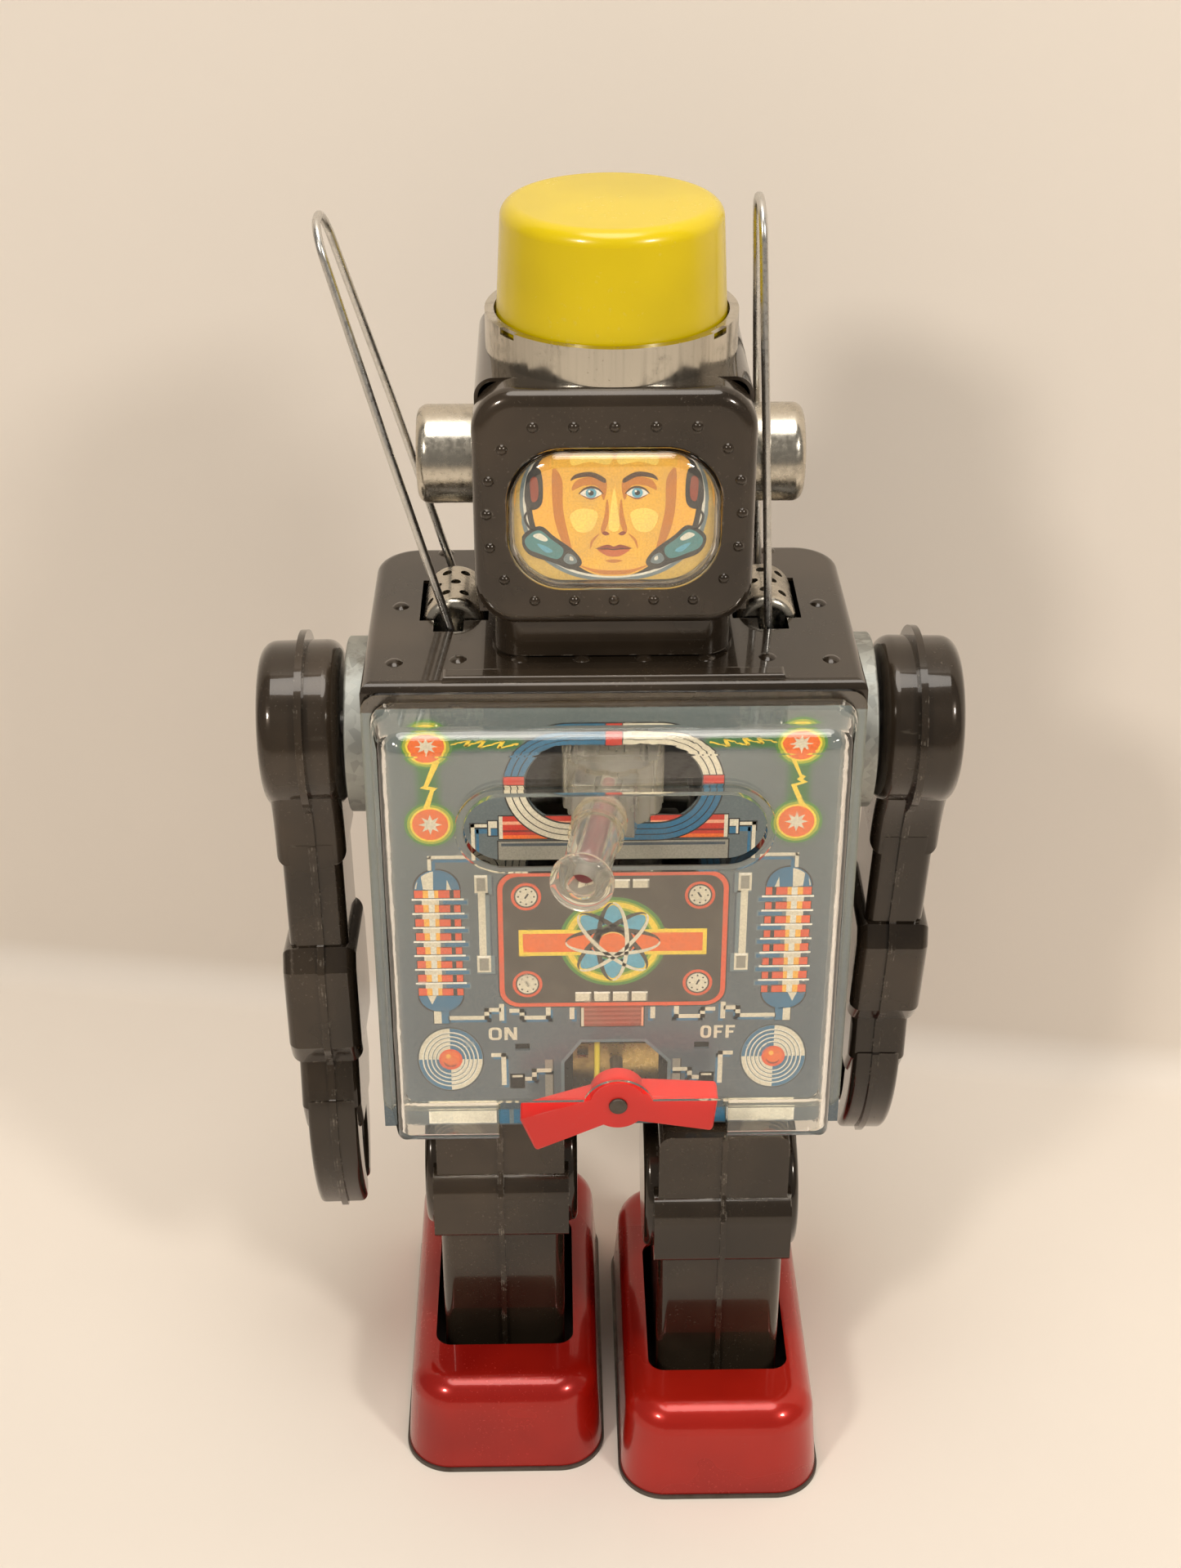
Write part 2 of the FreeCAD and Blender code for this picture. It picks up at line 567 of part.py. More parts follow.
# ---- gun ----
def gun_housing():
    drum = rod(Z_AXIS, (0, GUN_Y, GUN_Z - 6.0), 14.0, 11.0)
    for angle in range(0, 360, 30):
        groove = rod(Z_AXIS, (11.6, GUN_Y, GUN_Z - 7), 16, 1.3)
        drum = drum.cut(turned(groove, (0, GUN_Y, 0), Z_AXIS, angle))
    block = box(-6.8, 6.8, GUN_Y - 16.0, GUN_Y, GUN_Z - 5.6, GUN_Z + 7.0)
    block = round_edges(block, 1.6, lambda p: p.y < GUN_Y - 8)
    pins = rod(Z_AXIS, (0, GUN_Y, GUN_Z - 11.4), 24.0, GUN_PIN_R)
    return fuse([drum, block, pins]).cut(rod(Y_AXIS, (0, GUN_Y - 20, GUN_Z), 14, BARREL_BORE_R))


def gun_barrel():
    start = GUN_Y - 16.0
    end = GUN_Y - GUN_REACH
    barrel = Part.makeCone(5.4, 4.9, start - end - 3.0, Vec(0, start, GUN_Z), Vec(0, -1, 0))
    muzzle = rod(Y_AXIS, (0, end, GUN_Z), 3.6, 6.6)
    muzzle = round_edges(muzzle, 1.4, lambda p: True)
    rings = [rod(Y_AXIS, (0, y, GUN_Z), 1.2, 5.9) for y in (start - 3.2, start - 8.2)]
    bore = rod(Y_AXIS, (0, end - 1, GUN_Z), start - end + 2, BARREL_BORE_R)
    return fuse([barrel, muzzle] + rings).cut(bore)


def gun_core():
    """The dark bar down the bore; it stops short of both ends."""
    ahead, behind = 5.0, 6.2
    return rod(Y_AXIS, (0, GUN_Y - GUN_REACH + ahead, GUN_Z), GUN_REACH - ahead - behind, 2.3)


def gun_bracket():
    y0, y1 = FRONT + TIN + 0.4, -14.0
    shelves = [box(-7, 7, y0, y1, z, z + 1.0) for z in (GUN_Z - 10.4, GUN_Z + 12.0)]
    web = box(-7, 7, y1 - 1.0, y1, GUN_Z - 10.4, GUN_Z + 13.0)
    ears = [box(-7, 7, y1, -2.4, GUN_Z - 10.4, GUN_Z - 9.4)]
    bracket = fuse(shelves + [web] + ears)
    return bracket.cut(rod(Z_AXIS, (0, GUN_Y, GUN_Z - 15), 35, GUN_PIN_R + RUN))


# ---- switch ----
def switch_lever():
    y0, y1 = LEVER_Y
    hub = rod(Y_AXIS, (LEVER_X, y0, LEVER_Z), y1 - y0, 6.4)
    parts = [hub]
    for s in (-1, 1):
        arm = [(0, 3.6), (s * 22.5, 4.6), (s * 22.5, -5.2), (0, -3.6)]
        corners = [Vec(x, y0, z) for x, z in arm]
        paddle = Part.Face(Part.makePolygon(corners + corners[:1])).extrude(Vec(0, y1 - y0, 0))
        paddle = round_edges(paddle, 1.0, lambda p: abs(p.x) > 22)
        paddle.rotate(Vec(0, 0, 0), Y_AXIS, s * 13.5)
        paddle.translate(Vec(LEVER_X, 0, LEVER_Z))
        parts.append(paddle)
    lever = fuse(parts).cut(rod(Y_AXIS, (LEVER_X, y0 - 1, LEVER_Z), 8, LEVER_SHAFT_R))
    return turned(lever, (LEVER_X, 0, LEVER_Z), Y_AXIS, LEVER_TILT)


def lever_shaft():
    head = rod(Y_AXIS, (LEVER_X, LEVER_Y[0] - 0.7, LEVER_Z), 0.7, 2.1)
    head = round_edges(head, 0.4, lambda p: near(p.y, LEVER_Y[0] - 0.7))
    shaft = rod(Y_AXIS, (LEVER_X, LEVER_Y[0] - 0.1, LEVER_Z), 23.0, LEVER_SHAFT_R)
    collar = rod(Y_AXIS, (LEVER_X, LEVER_Y[1] + 0.02, LEVER_Z), 1.2, 3.2)
    return fuse([head, shaft, collar])


def switch_contact():
    plate = box(-9, 11, -29.4, -28.6, BODY_BOTTOM + TIN, LEVER_Z + 5)
    foot = box(-9, 11, -29.4, -25.0, BODY_BOTTOM + TIN, BODY_BOTTOM + 2 * TIN)
    leaf = box(-8, -5.5, -32.6, -29.4, LEVER_Z + 3.4, LEVER_Z + 4.2)
    plate = fuse([plate, foot, leaf])
    return plate.cut(rod(Y_AXIS, (LEVER_X, -33, LEVER_Z), 8, LEVER_SHAFT_R + RUN))


def lead_wire():
    end_y = -25.0
    end_z = MOTOR_AT[1] - math.sqrt(MOTOR_R ** 2 - (end_y - MOTOR_AT[0]) ** 2) - 0.9
    route = [(-3.4, -30.6, 104.0), (-3.4, -30.6, 122.0), (-1.0, -29.0, 134.0), (2.0, end_y, 142.0),
             (2.0, end_y, end_z)]
    return swept_rod(route, 3.5, 0.7)


# ---- drive ----
def gear_blank(teeth, x0, width, at, phase):
    """A spur gear about the X direction; phase is the angle of one tooth, in radians."""
    pitch_r = MODULE * teeth / 2
    radii = (pitch_r - 1.2 * MODULE, pitch_r, pitch_r + 0.85 * MODULE)
    half_tooth = math.pi / (2 * teeth) - 0.06 / pitch_r
    slope = math.tan(math.radians(20))
    widths = [half_tooth + (pitch_r - r) * slope / pitch_r for r in radii]
    points = []
    for i in range(teeth):
        centre = phase + 2 * math.pi * i / teeth
        flank = [(r, centre - w) for r, w in zip(radii, widths)]
        flank += [(r, centre + w) for r, w in zip(radii[::-1], widths[::-1])]
        points += [(at[0] + r * math.cos(a), at[1] + r * math.sin(a)) for r, a in flank]
    return polygon_x(points, x0, x0 + width)


def step_from(point, distance, lean):
    """A point above this one, leaning forwards by lean degrees."""
    a = math.radians(lean)
    return (point[0] - distance * math.sin(a), point[1] + distance * math.cos(a))


def mesh_phase(at_a, teeth_a, phase_a, at_b, teeth_b):
    """The tooth angle of gear b that meshes with gear a."""
    toward = math.atan2(at_b[1] - at_a[1], at_b[0] - at_a[0])
    return toward + math.pi + math.pi / teeth_b - (phase_a - toward) * teeth_a / teeth_b


WHEEL_SPACING = MODULE * (PINION_TEETH + WHEEL_TEETH) / 2 + MESH_SLACK
CRANK_SPACING = MODULE * (PINION_TEETH + CRANK_TEETH) / 2 + MESH_SLACK
SECOND_AT = step_from(CRANK_AT, CRANK_SPACING, 23.6)
FIRST_AT = step_from(SECOND_AT, WHEEL_SPACING, -12.4)
MOTOR_AT = step_from(FIRST_AT, WHEEL_SPACING, 0.0)
SECOND_PINION_PHASE = mesh_phase(CRANK_AT, CRANK_TEETH, CRANK_PHASE, SECOND_AT, PINION_TEETH)
FIRST_PINION_PHASE = mesh_phase(SECOND_AT, WHEEL_TEETH, SECOND_PINION_PHASE, FIRST_AT, PINION_TEETH)
MOTOR_PHASE = mesh_phase(FIRST_AT, WHEEL_TEETH, FIRST_PINION_PHASE, MOTOR_AT, PINION_TEETH)


def compound_gear(at, phase, wheel_x, pinion_x, pinion_w):
    wheel = gear_blank(WHEEL_TEETH, wheel_x, FACE_W, at, phase)
    pinion = gear_blank(PINION_TEETH, pinion_x, pinion_w, at, phase)
    shaft = rod(X_AXIS, (-GEARBOX_X - 1.6, at[0], at[1]), 2 * GEARBOX_X + 3.2, SHAFT_R)
    return fuse([wheel, pinion, shaft])


def crank_gear():
    wheel = gear_blank(CRANK_TEETH, CRANK_WHEEL_X, FACE_W, CRANK_AT, CRANK_PHASE)
    hub = rod(X_AXIS, (CRANK_WHEEL_X, *CRANK_AT), FACE_W + 2.2, 4.0)
    wheel = fuse([wheel, hub])
    for i in range(5):
        hole = rod(X_AXIS, (CRANK_WHEEL_X - 1, CRANK_AT[0] + 7.6, CRANK_AT[1]), FACE_W + 2, 1.8)
        wheel = wheel.cut(turned(hole, (0, *CRANK_AT), X_AXIS, 72 * i))
    return wheel.cut(rod(X_AXIS, (CRANK_WHEEL_X - 1, *CRANK_AT), 8, CRANK_SHAFT_R))


def crank_axle():
    return rod(X_AXIS, (-CRANK_DISC_X[1], *CRANK_AT), 2 * CRANK_DISC_X[1], CRANK_SHAFT_R)


def crank_discs():
    """Two discs with pins half a turn apart; the left pin starts forward and up."""
    rise = math.sqrt(CRANK_THROW ** 2 - LEG_OFFSET ** 2)
    discs = []
    for _, s in SIDES:
        y, z = CRANK_AT[0] - s * LEG_OFFSET, CRANK_AT[1] + s * rise
        disc = rod(X_AXIS, (CRANK_DISC_X[0], *CRANK_AT), CRANK_DISC_X[1] - CRANK_DISC_X[0], 10.0)
        pin = rod(X_AXIS, (CRANK_DISC_X[0], y, z), BRACKET_X[0] - 0.4 - CRANK_DISC_X[0], CRANK_PIN_R)
        disc = fuse([disc, pin]).cut(rod(X_AXIS, (CRANK_DISC_X[0] - 1, *CRANK_AT), 4, CRANK_SHAFT_R))
        discs.append(mirrored(disc, s))
    return Part.makeCompound(discs)


def motor():
    can = rod(X_AXIS, (-9.6, *MOTOR_AT), 25.0, MOTOR_R)
    can = round_edges(can, 1.0, lambda p: True)
    boss = rod(X_AXIS, (-10.6, *MOTOR_AT), 1.2, 3.0)
    tail = rod(X_AXIS, (15.0, *MOTOR_AT), 2.0, 4.0)
    return fuse([can, boss, tail]).cut(rod(X_AXIS, (-12, *MOTOR_AT), 12, MOTOR_SHAFT_R + RUN))


def motor_pinion():
    pinion = gear_blank(PINION_TEETH, FIRST_WHEEL_X - 0.6, FACE_W + 1.4, MOTOR_AT, MOTOR_PHASE)
    return fuse([pinion, rod(X_AXIS, (-17.4, *MOTOR_AT), 16.0, MOTOR_SHAFT_R)])


def gearbox_plates():
    plates = []
    for _, s in SIDES:
        x0, x1 = sorted((s * GEARBOX_X, s * (GEARBOX_X + 1.0)))
        plate = box(x0, x1, -32.4, -3.0, BODY_BOTTOM + TIN, 172.0)
        foot_x = sorted((s * GEARBOX_X, s * (GEARBOX_X - 5.0)))
        foot = box(foot_x[0], foot_x[1], -12.0, -4.0, BODY_BOTTOM + TIN, BODY_BOTTOM + 2 * TIN)
        plate = fuse([plate, foot])
        for at, r in ((CRANK_AT, CRANK_SHAFT_R), (SECOND_AT, SHAFT_R), (FIRST_AT, SHAFT_R)):
            plate = plate.cut(rod(X_AXIS, (x0 - 1, *at), 3, r + RUN))
        for at in PILLARS:
            plate = plate.cut(rod(X_AXIS, (x0 - 1, *at), 3, 1.2))
        plates.append(plate)
    return Part.makeCompound(plates)


def gearbox_pillars():
    posts = []
    for at in PILLARS:
        post = rod(X_AXIS, (-GEARBOX_X, *at), 2 * GEARBOX_X, 1.8)
        ends = rod(X_AXIS, (-GEARBOX_X - 1.6, *at), 2 * GEARBOX_X + 3.2, 1.2)
        posts.append(fuse([post, ends]))
    return Part.makeCompound(posts)


# ---- arms ----
def outline(corners, bulges):
    """A closed wire in the YZ plane, clockwise from +X; side i bows outwards by bulges[i]."""
    edges = []
    for i, corner in enumerate(corners):
        start = Vec(0, *corner)
        end = Vec(0, *corners[(i + 1) % len(corners)])
        if bulges[i] == 0:
            edges.append(Part.LineSegment(start, end).toShape())
        else:
            along = end - start
            across = Vec(0, -along.z, along.y).normalize()
            edges.append(Part.Arc(start, (start + end) * 0.5 + across * bulges[i], end).toShape())
    return Part.Wire(edges)


def round_outline(r, z):
    return Part.Wire([Part.makeCircle(r, Vec(0, 0, z), X_AXIS)])


def arm_outlines():
    """Each stretch of the arm below its pivot: outline, depth, edge radius, width of its seam flange."""
    neck = outline([(-17.4, -7.0), (17.4, -7.0), (12.2, -30.0), (-12.2, -30.0)], (0, -1.8, 0, -1.8))
    forearm = outline([(-12.2, -25.0), (12.2, -25.0), (12.2, -56.0), (-12.2, -56.0)], (0, 0, 0, 0))
    wrist = outline([(-12.8, -51.0), (12.8, -51.0), (15.6, -56.4), (15.6, -76.4), (12.4, -82.0),
                     (-12.4, -82.0), (-15.6, -76.4), (-15.6, -56.4)], (0,) * 8)
    palm = outline([(-11.4, -78.0), (11.4, -78.0), (14.4, -94.0), (10.0, -102.6), (-10.0, -102.6),
                    (-14.4, -94.0)], (0,) * 6)
    front_finger = outline([(-14.4, -92.0), (-4.6, -92.0), (-5.4, -110.6), (-1.2, -122.0), (-6.0, -126.4)],
                           (0, 0, -1.0, 1.6, 4.0))
    rear_finger = front_finger.mirror(Vec(0, 0, 0), Y_AXIS)
    drum = round_outline(ARM_DRUM_R, 0.0)
    return ((drum, ARM_DRUM_DEPTH, 3.6, 2.3), (neck, 8.6, 2.6, 0.9), (forearm, 7.4, 2.4, 0.9),
            (wrist, 9.2, 2.8, 0.9), (palm, 7.6, 2.2, 0.9), (front_finger, 6.4, 1.6, 0.9),
            (rear_finger, 6.4, 1.6, 0.9))


def pressed_form(wire, depth, edge_r):
    """A block standing on the seam plane (x = 0) with its outer edges rounded."""
    block = Part.Face(wire).extrude(Vec(depth, 0, 0))
    return round_edges(block, edge_r, lambda p: near(p.x, depth)) if edge_r else block


def arm_half(depth_scale):
    """One hollow pressed half hanging from its pivot, with the thin flange along its seam."""
    stretches = arm_outlines()
    outside = fuse([pressed_form(wire, depth * depth_scale, r) for wire, depth, r, _ in stretches])
    inside = fuse([pressed_form(wire.makeOffset2D(-TIN), depth * depth_scale - TIN,
                                r - TIN if r > SHARP_HOLLOW else 0) for wire, depth, r, _ in stretches])
    flanges = []
    for wire, _, _, grow in stretches:
        flanges.append(Part.Face(wire.makeOffset2D(grow)).extrude(Vec(TIN, 0, 0)))
    return fuse([outside] + flanges).cut(inside)


def arm_shaft():
    start, end = ARM_SHAFT_X
    shaft = rod(X_AXIS, (start, 0, 0), end - start, ARM_SHAFT_R)
    lever = box(start, start + 1.2, -4.0, 4.0, -18.0, 4.0)
    return fuse([shaft, lever])


def arm_washer():
    disc = tube(X_AXIS, (WASHER_X[0], 0, 0), WASHER_X[1] - WASHER_X[0], WASHER_R, ARM_SHAFT_R)
    return round_edges(disc, 0.5, lambda p: near(math.hypot(p.y, p.z), WASHER_R))


# ---- legs ----
def leg_half_form(inset):
    """One pressed leg half from its seam (x = 0) outwards, about the leg's middle."""
    top, low = LEG_TOP - inset, 2.2 + inset
    thigh = box(0, 15.4 - inset, -18.6 + inset, 18.6 - inset, 74.0, top)
    thigh = round_edges(thigh, 3.0 - inset, lambda p: near(p.x, 15.4 - inset) and p.z > 74.5)
    half_d = KNEE_HALF_D - inset
    knee_low, knee_top = KNEE_Z[0] + inset, KNEE_Z[1] - inset
    knee = box(0, 16.4 - inset, -half_d, half_d, knee_low, knee_top)
    knee = round_edges(knee, 6.2 - inset, lambda p: near(abs(p.y), half_d) and near(p.z, knee_top))
    knee = round_edges(knee, 1.6 - inset * 0.8, lambda p: near(abs(p.y), half_d) and near(p.z, knee_low))
    boss = rod(X_AXIS, (0, 0, 67.5), 18.6 - inset, 17.4 - inset)
    boss = round_edges(boss, 1.8 - inset * 0.8, lambda p: near(p.x, 18.6 - inset))
    shin = box(0, 15.2 - inset, -18.2 + inset, 18.2 - inset, low, 60.0)
    shin = round_edges(shin, 3.0 - inset, lambda p: near(p.x, 15.2 - inset))
    return fuse([thigh, knee, boss, shin])


def leg_half():
    half = leg_half_form(0.0).cut(leg_half_form(TIN))
    step_y, thigh_y = -KNEE_HALF_D - 0.8, -19.8
    rib_profile = [(-19.4, 3.0), (-19.4, KNEE_Z[0] - 0.6), (step_y, KNEE_Z[0] - 0.6),
                   (step_y, KNEE_Z[1] - 4.6), (thigh_y, KNEE_Z[1] + 1.2), (thigh_y, LEG_TOP),
                   (-18.0, LEG_TOP), (-18.0, 3.0)]
    rib = polygon_x(rib_profile, 0, 0.6).cut(leg_half_form(TIN))
    return fuse([half, rib])


def leg_bracket():
    x0, x1 = BRACKET_X[0] - LEG_X, BRACKET_X[1] - LEG_X
    reach = CRANK_THROW + CRANK_PIN_R + 0.6
    strip = box(x0, x1, -BRACKET_HALF_Y, BRACKET_HALF_Y, LEG_TOP, CRANK_AT[1] + reach + 2.4)
    slot = box(x0 - 1, x1 + 1, -CRANK_PIN_R - 0.3, CRANK_PIN_R + 0.3,
               CRANK_AT[1] - reach, CRANK_AT[1] + reach)
    foot = box(x0 - 6, x1 + 4, -BRACKET_HALF_Y, BRACKET_HALF_Y, LEG_TOP, LEG_TOP + 0.8)
    hanger = box(x0 - 3, x1 + 3, -3.0, 3.0, BODY_BOTTOM + TIN + 0.4, BODY_BOTTOM + TIN + 1.2)
    return fuse([strip, foot, hanger]).cut(slot)


def shoe_form(inset):
    middle = (SHOE_Y[0] + SHOE_Y[1]) / 2
    half_l = (SHOE_Y[1] - SHOE_Y[0]) / 2
    rims = []
    for z, narrow in ((1.2 - inset, 0.0), (SHOE_TOP - inset, 1.6)):
        wire = rounded_wire(SHOE_HALF_W - narrow - inset, half_l - 1.6 * narrow - inset, 11.0 - inset)
        wire.translate(Vec(0, middle, z))
        rims.append(wire)
    form = Part.makeLoft(rims, True, True)
    return round_edges(form, 7.0 - inset, lambda p: near(p.z, SHOE_TOP - inset))


def shoe():
    y0, y1 = SHOE_OPENING_Y
    opening = pad_z(SHOE_OPENING_X, (y1 - y0) / 2, 4.0, SHOE_TOP - 3, SHOE_TOP + 1, 0, (y0 + y1) / 2)
    return shoe_form(0.0).cut(shoe_form(TIN)).cut(opening)


def sole():
    middle = (SHOE_Y[0] + SHOE_Y[1]) / 2
    half_l = (SHOE_Y[1] - SHOE_Y[0]) / 2
    plate = pad_z(SHOE_HALF_W + 0.5, half_l + 0.5, 11.5, 0, 1.15, 0, middle)
    inner = pad_z(SHOE_HALF_W - 1.2, half_l - 1.2, 9.8, 1.15, 2.15, 0, middle)
    plate = fuse([plate, inner])
    plate = plate.cut(box(-ROLLER_W / 2 - 0.8, ROLLER_W / 2 + 0.8, ROLLER_Y - ROLLER_R - 0.8,
                          ROLLER_Y + ROLLER_R + 0.8, -1, 4))
    ears = []
    for s in (-1, 1):
        x0, x1 = sorted((s * (ROLLER_W / 2 + 0.8), s * (ROLLER_W / 2 + 1.8)))
        ears.append(box(x0, x1, ROLLER_Y - 3, ROLLER_Y + 3, 2.0, 9.0))
    plate = fuse([plate] + ears)
    return plate.cut(rod(X_AXIS, (-8, ROLLER_Y, ROLLER_R + ROLLER_LIFT), 16, ROLLER_AXLE_R + RUN))


def foot_roller():
    height = ROLLER_R + ROLLER_LIFT
    wheel = rod(X_AXIS, (-ROLLER_W / 2, ROLLER_Y, height), ROLLER_W, ROLLER_R)
    wheel = round_edges(wheel, 0.6, lambda p: True)
    axle = rod(X_AXIS, (-ROLLER_W / 2 - 2.4, ROLLER_Y, height), ROLLER_W + 4.8, ROLLER_AXLE_R)
    return fuse([wheel, axle])


# ---- placing ----
def hung(half):
    """An arm half moved out to the seam and leaned in towards the body."""
    return turned(half, (0, 0, 0), Y_AXIS, ARM_HANG).translated(Vec(ARM_SEAM, 0, 0))


def place_arm(shape, s):
    shape = mirrored(shape, s).copy()
    shape.rotate(Vec(0, 0, 0), X_AXIS, s * ARM_SWING)
    shape.translate(Vec(0, 0, SHOULDER_Z))
    return shape


def place_leg(shape, s, flip):
    """flip mirrors the piece within its own leg, for the inner half."""
    if flip:
        shape = shape.mirror(Vec(0, 0, 0), X_AXIS)
    shape = mirrored(shape.translated(Vec(LEG_X, 0, 0)), s)
    return shape.translated(Vec(0, -s * LEG_OFFSET, 0))


def place_antenna(shape, side, s):
    pivot = (s * ANTENNA_X, 0, ANTENNA_AXIS_Z)
    return turned(shape, pivot, Y_AXIS, s * ANTENNA_LEAN[side])


def place_gun(shape):
    return turned(shape, (0, GUN_Y, 0), Z_AXIS, GUN_YAW)


def main():
    os.makedirs("parts", exist_ok=True)
    for make in (body_wrap, top_plate, bottom_plate, chest_plate, chest_cover, battery_door, battery_tray,
                 battery_cells, battery_contacts, neck_collar, head_shell, head_front, visor, face_card,
                 dome_ring, dome_lens, dome_lamp, gun_bracket, switch_lever, lever_shaft, switch_contact,
                 lead_wire, crank_gear, crank_axle, crank_discs, motor, motor_pinion, gearbox_plates,
                 gearbox_pillars):
        save(make.__name__, make())
    for name, at, phase, x in (("first_gear", FIRST_AT, FIRST_PINION_PHASE, FIRST_WHEEL_X),
                               ("second_gear", SECOND_AT, SECOND_PINION_PHASE, SECOND_WHEEL_X)):
        save(name, compound_gear(at, phase, x, x + FACE_W, 3.6))
    for make in (gun_housing, gun_barrel, gun_core):
        save(make.__name__, place_gun(make()))
    bore = rod(X_AXIS, (ARM_SHAFT_X[0], 0, 0), ARM_SHAFT_X[1] - ARM_SHAFT_X[0], ARM_SHAFT_R)
    outer = hung(arm_half(1.0)).cut(bore)
    inner = hung(arm_half(ARM_INNER_SCALE).mirror(Vec(0, 0, 0), X_AXIS)).cut(bore)
    leg_parts = (("leg_outer", leg_half(), False, LEG_Y), ("leg_inner", leg_half(), True, LEG_Y),
                 ("leg_bracket", leg_bracket(), False, LEG_Y), ("shoe", shoe(), False, 0.0),
                 ("sole", sole(), False, 0.0), ("foot_roller", foot_roller(), False, 0.0))
    for side, s in SIDES:
        save(side + "_ear", mirrored(ear(), s))
        save(side + "_antenna_wire", place_antenna(antenna_wire(s), side, s))
        save(side + "_antenna_drum", place_antenna(antenna_drum(s), side, s))
        save(side + "_arm_outer", place_arm(outer, s))
        save(side + "_arm_inner", place_arm(inner, s))
        save(side + "_arm_shaft", place_arm(arm_shaft(), s))
        save(side + "_arm_washer", place_arm(arm_washer(), s))
        for name, shape, flip, y in leg_parts:
            save(side + "_" + name, place_leg(shape.translated(Vec(0, y, 0)), s, flip))


main()
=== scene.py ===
import json
import math

import bpy
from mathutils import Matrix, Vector


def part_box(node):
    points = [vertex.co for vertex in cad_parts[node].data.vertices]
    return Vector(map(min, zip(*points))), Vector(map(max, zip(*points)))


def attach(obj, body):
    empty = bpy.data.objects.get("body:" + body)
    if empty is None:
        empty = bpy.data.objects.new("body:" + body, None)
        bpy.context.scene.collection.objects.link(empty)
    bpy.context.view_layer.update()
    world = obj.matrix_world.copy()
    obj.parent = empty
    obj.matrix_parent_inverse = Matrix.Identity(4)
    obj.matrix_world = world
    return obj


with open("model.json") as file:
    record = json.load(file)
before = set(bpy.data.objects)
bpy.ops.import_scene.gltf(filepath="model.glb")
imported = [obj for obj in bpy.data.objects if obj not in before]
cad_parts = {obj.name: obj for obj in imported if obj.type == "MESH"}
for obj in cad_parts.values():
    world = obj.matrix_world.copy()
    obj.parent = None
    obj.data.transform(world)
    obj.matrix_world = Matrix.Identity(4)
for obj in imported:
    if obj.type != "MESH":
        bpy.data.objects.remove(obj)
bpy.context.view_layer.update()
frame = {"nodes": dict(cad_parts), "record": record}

MM = 0.001
nodes = frame["nodes"]
left_and_right = (1, -1)


# ---- Shader maths -------------------------------------------------------------------------------

class Wire:
    """A value or colour coming out of a node. Arithmetic on it adds Math nodes to its finish."""

    def __init__(self, finish, socket):
        self.finish = finish
        self.socket = socket

    def maths(self, operation, *values):
        return self.finish.add("ShaderNodeMath", {"operation": operation}, dict(enumerate(values)))

    def __add__(self, other):
        return self.maths("ADD", self, other)

    def __radd__(self, other):
        return self.maths("ADD", other, self)

    def __sub__(self, other):
        return self.maths("SUBTRACT", self, other)

    def __rsub__(self, other):
        return self.maths("SUBTRACT", other, self)

    def __mul__(self, other):
        return self.maths("MULTIPLY", self, other)

    def __rmul__(self, other):
        return self.maths("MULTIPLY", other, self)

    def __truediv__(self, other):
        return self.maths("DIVIDE", self, other)

    def __pow__(self, other):
        return self.maths("POWER", self, other)

    def __abs__(self):
        return self.maths("ABSOLUTE", self)

    def limited(self):
        """The value held between 0 and 1."""
        return self.maths("MAXIMUM", self.maths("MINIMUM", self, 1.0), 0.0)

    def above(self, low, high):
        """0 below low, 1 above high and a smooth rise between them."""
        return self.finish.add("ShaderNodeMapRange", {"interpolation_type": "SMOOTHSTEP"},
                               {"Value": self, "From Min": low, "From Max": high})


def toned(colour, share):
    """The colour darkened or lightened by share, no channel over 1."""
    return tuple(min(1.0, c * share) for c in colour)


